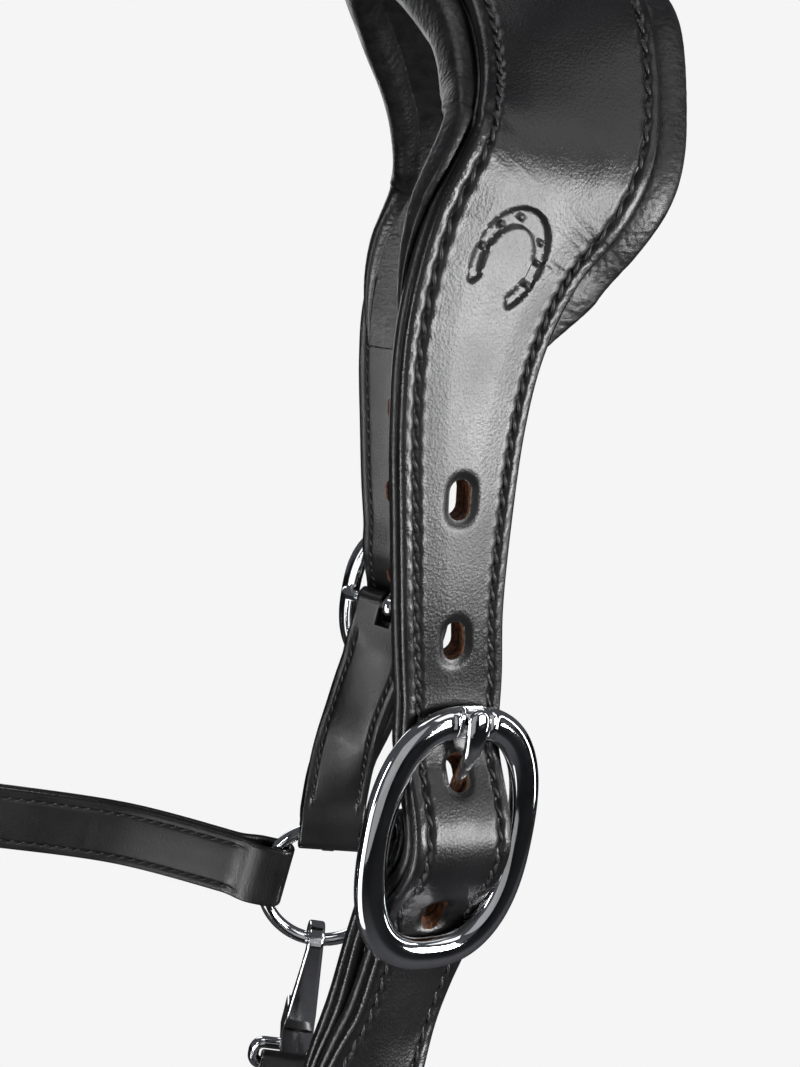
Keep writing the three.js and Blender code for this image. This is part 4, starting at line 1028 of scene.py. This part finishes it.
q = 2 * np.pi * (np.arange(96) + 0.5) / 96
corner = 4.0
bail = np.stack([np.sign(np.cos(q)) * (15.9 - corner) + corner * np.cos(q),
                 np.sign(np.sin(q)) * (5 - corner) + corner * np.sin(q) - SNAP_LENGTH + 5, 0 * q], 1)
points, faces = wire(evenly(np.vstack([bail, bail[:1]]), 0.9)[:-1], 2.3, Z, True, 20)
piece("throat_snap_bail", placed(points, snap), faces, CHROME, node="throat_snap")

for name in ("snap_gate", "snap_pin", "snap_spring"):
    o = frame["nodes"][name]
    o.data.materials.clear()
    o.data.materials.append(CHROME if name == "snap_gate" else STEEL)
    soft = o.modifiers.new("rounding", "BEVEL")
    soft.width, soft.segments, soft.limit_method, soft.angle_limit = 0.0003, 2, "ANGLE", math.radians(50)

# ---------------------------------------------------------------- studio

world = bpy.data.worlds.new("studio")
bpy.context.scene.world = world
world.use_nodes = True
nodes, links = world.node_tree.nodes, world.node_tree.links
pale, dim = nodes["Background"], nodes.new("ShaderNodeBackground")
pale.inputs["Color"].default_value = (0.913, 0.913, 0.913, 1)
dim.inputs["Color"].default_value = (0.06, 0.063, 0.07, 1)
ray, mix = nodes.new("ShaderNodeLightPath"), nodes.new("ShaderNodeMixShader")
links.new(ray.outputs["Is Camera Ray"], mix.inputs["Fac"])
links.new(dim.outputs["Background"], mix.inputs[1])
links.new(pale.outputs["Background"], mix.inputs[2])
links.new(mix.outputs["Shader"], nodes["World Output"].inputs["Surface"])

bpy.ops.mesh.primitive_plane_add(size=16, location=(0, 0, -1.0))
floor = bpy.context.object
floor.name = "floor"
paper = bpy.data.materials.new("paper")
paper.use_nodes = True
nodes, links = paper.node_tree.nodes, paper.node_tree.links
bright, matt = nodes.new("ShaderNodeEmission"), nodes.new("ShaderNodeBsdfDiffuse")
bright.inputs["Color"].default_value = (0.913, 0.913, 0.913, 1)
matt.inputs["Color"].default_value = (0.07, 0.07, 0.075, 1)
ray, mix = nodes.new("ShaderNodeLightPath"), nodes.new("ShaderNodeMixShader")
links.new(ray.outputs["Is Camera Ray"], mix.inputs["Fac"])
links.new(matt.outputs["BSDF"], mix.inputs[1])
links.new(bright.outputs["Emission"], mix.inputs[2])
links.new(mix.outputs["Shader"], nodes["Material Output"].inputs["Surface"])
floor.data.materials.append(paper)


def softbox(name, place, aim, width, height, power):
    light = bpy.data.lights.new(name, "AREA")
    light.shape = "RECTANGLE"
    light.size, light.size_y = width, height
    light.energy = power
    o = bpy.data.objects.new(name, light)
    o.location = place
    o.rotation_euler = (Vector(aim) - Vector(place)).to_track_quat("-Z", "Y").to_euler()
    o.visible_camera = False
    bpy.context.scene.collection.objects.link(o)
    return o


MIDDLE = (0.05, -0.05, -0.15)
softbox("key", (0.76, 1.0, -0.2), (0.09, 0, -0.12), 0.42, 0.55, 15)
softbox("high", (0.62, 0.85, 0.75), MIDDLE, 0.8, 0.6, 1.8)
softbox("front", (1.3, 0.1, 0.0), MIDDLE, 1.0, 1.4, 1.3)
softbox("nose_panel", (0.72, -0.62, -0.62), (0.09, -0.02, -0.18), 0.7, 0.9, 2.6)
softbox("nose_strip", (0.57, -0.66, -0.3), (0.09, 0, -0.2), 0.07, 1.2, 5)
softbox("rear_strip", (0.1, 1.3, -0.2), MIDDLE, 0.15, 1.3, 3)
softbox("far_side", (-1.2, -0.45, 0.2), MIDDLE, 0.4, 1.0, 2.5)
softbox("overhead", (0.1, -0.1, 1.2), MIDDLE, 0.6, 0.6, 2)

camera = bpy.data.cameras.new("camera")
camera.sensor_width, camera.lens = 36, 36 * 1100 / 1067
camera.clip_start, camera.clip_end = 0.01, 50
viewer = bpy.data.objects.new("camera", camera)
turn, dip = math.radians(4), math.radians(12.8)
forward = Vector((-math.cos(turn) * math.cos(dip), math.sin(turn) * math.cos(dip), -math.sin(dip)))
viewer.location = (0.3128, -0.0333, -0.0784)
viewer.rotation_euler = forward.to_track_quat("-Z", "Y").to_euler()
bpy.context.scene.collection.objects.link(viewer)
bpy.context.scene.camera = viewer
bpy.context.scene.view_settings.view_transform = "Standard"
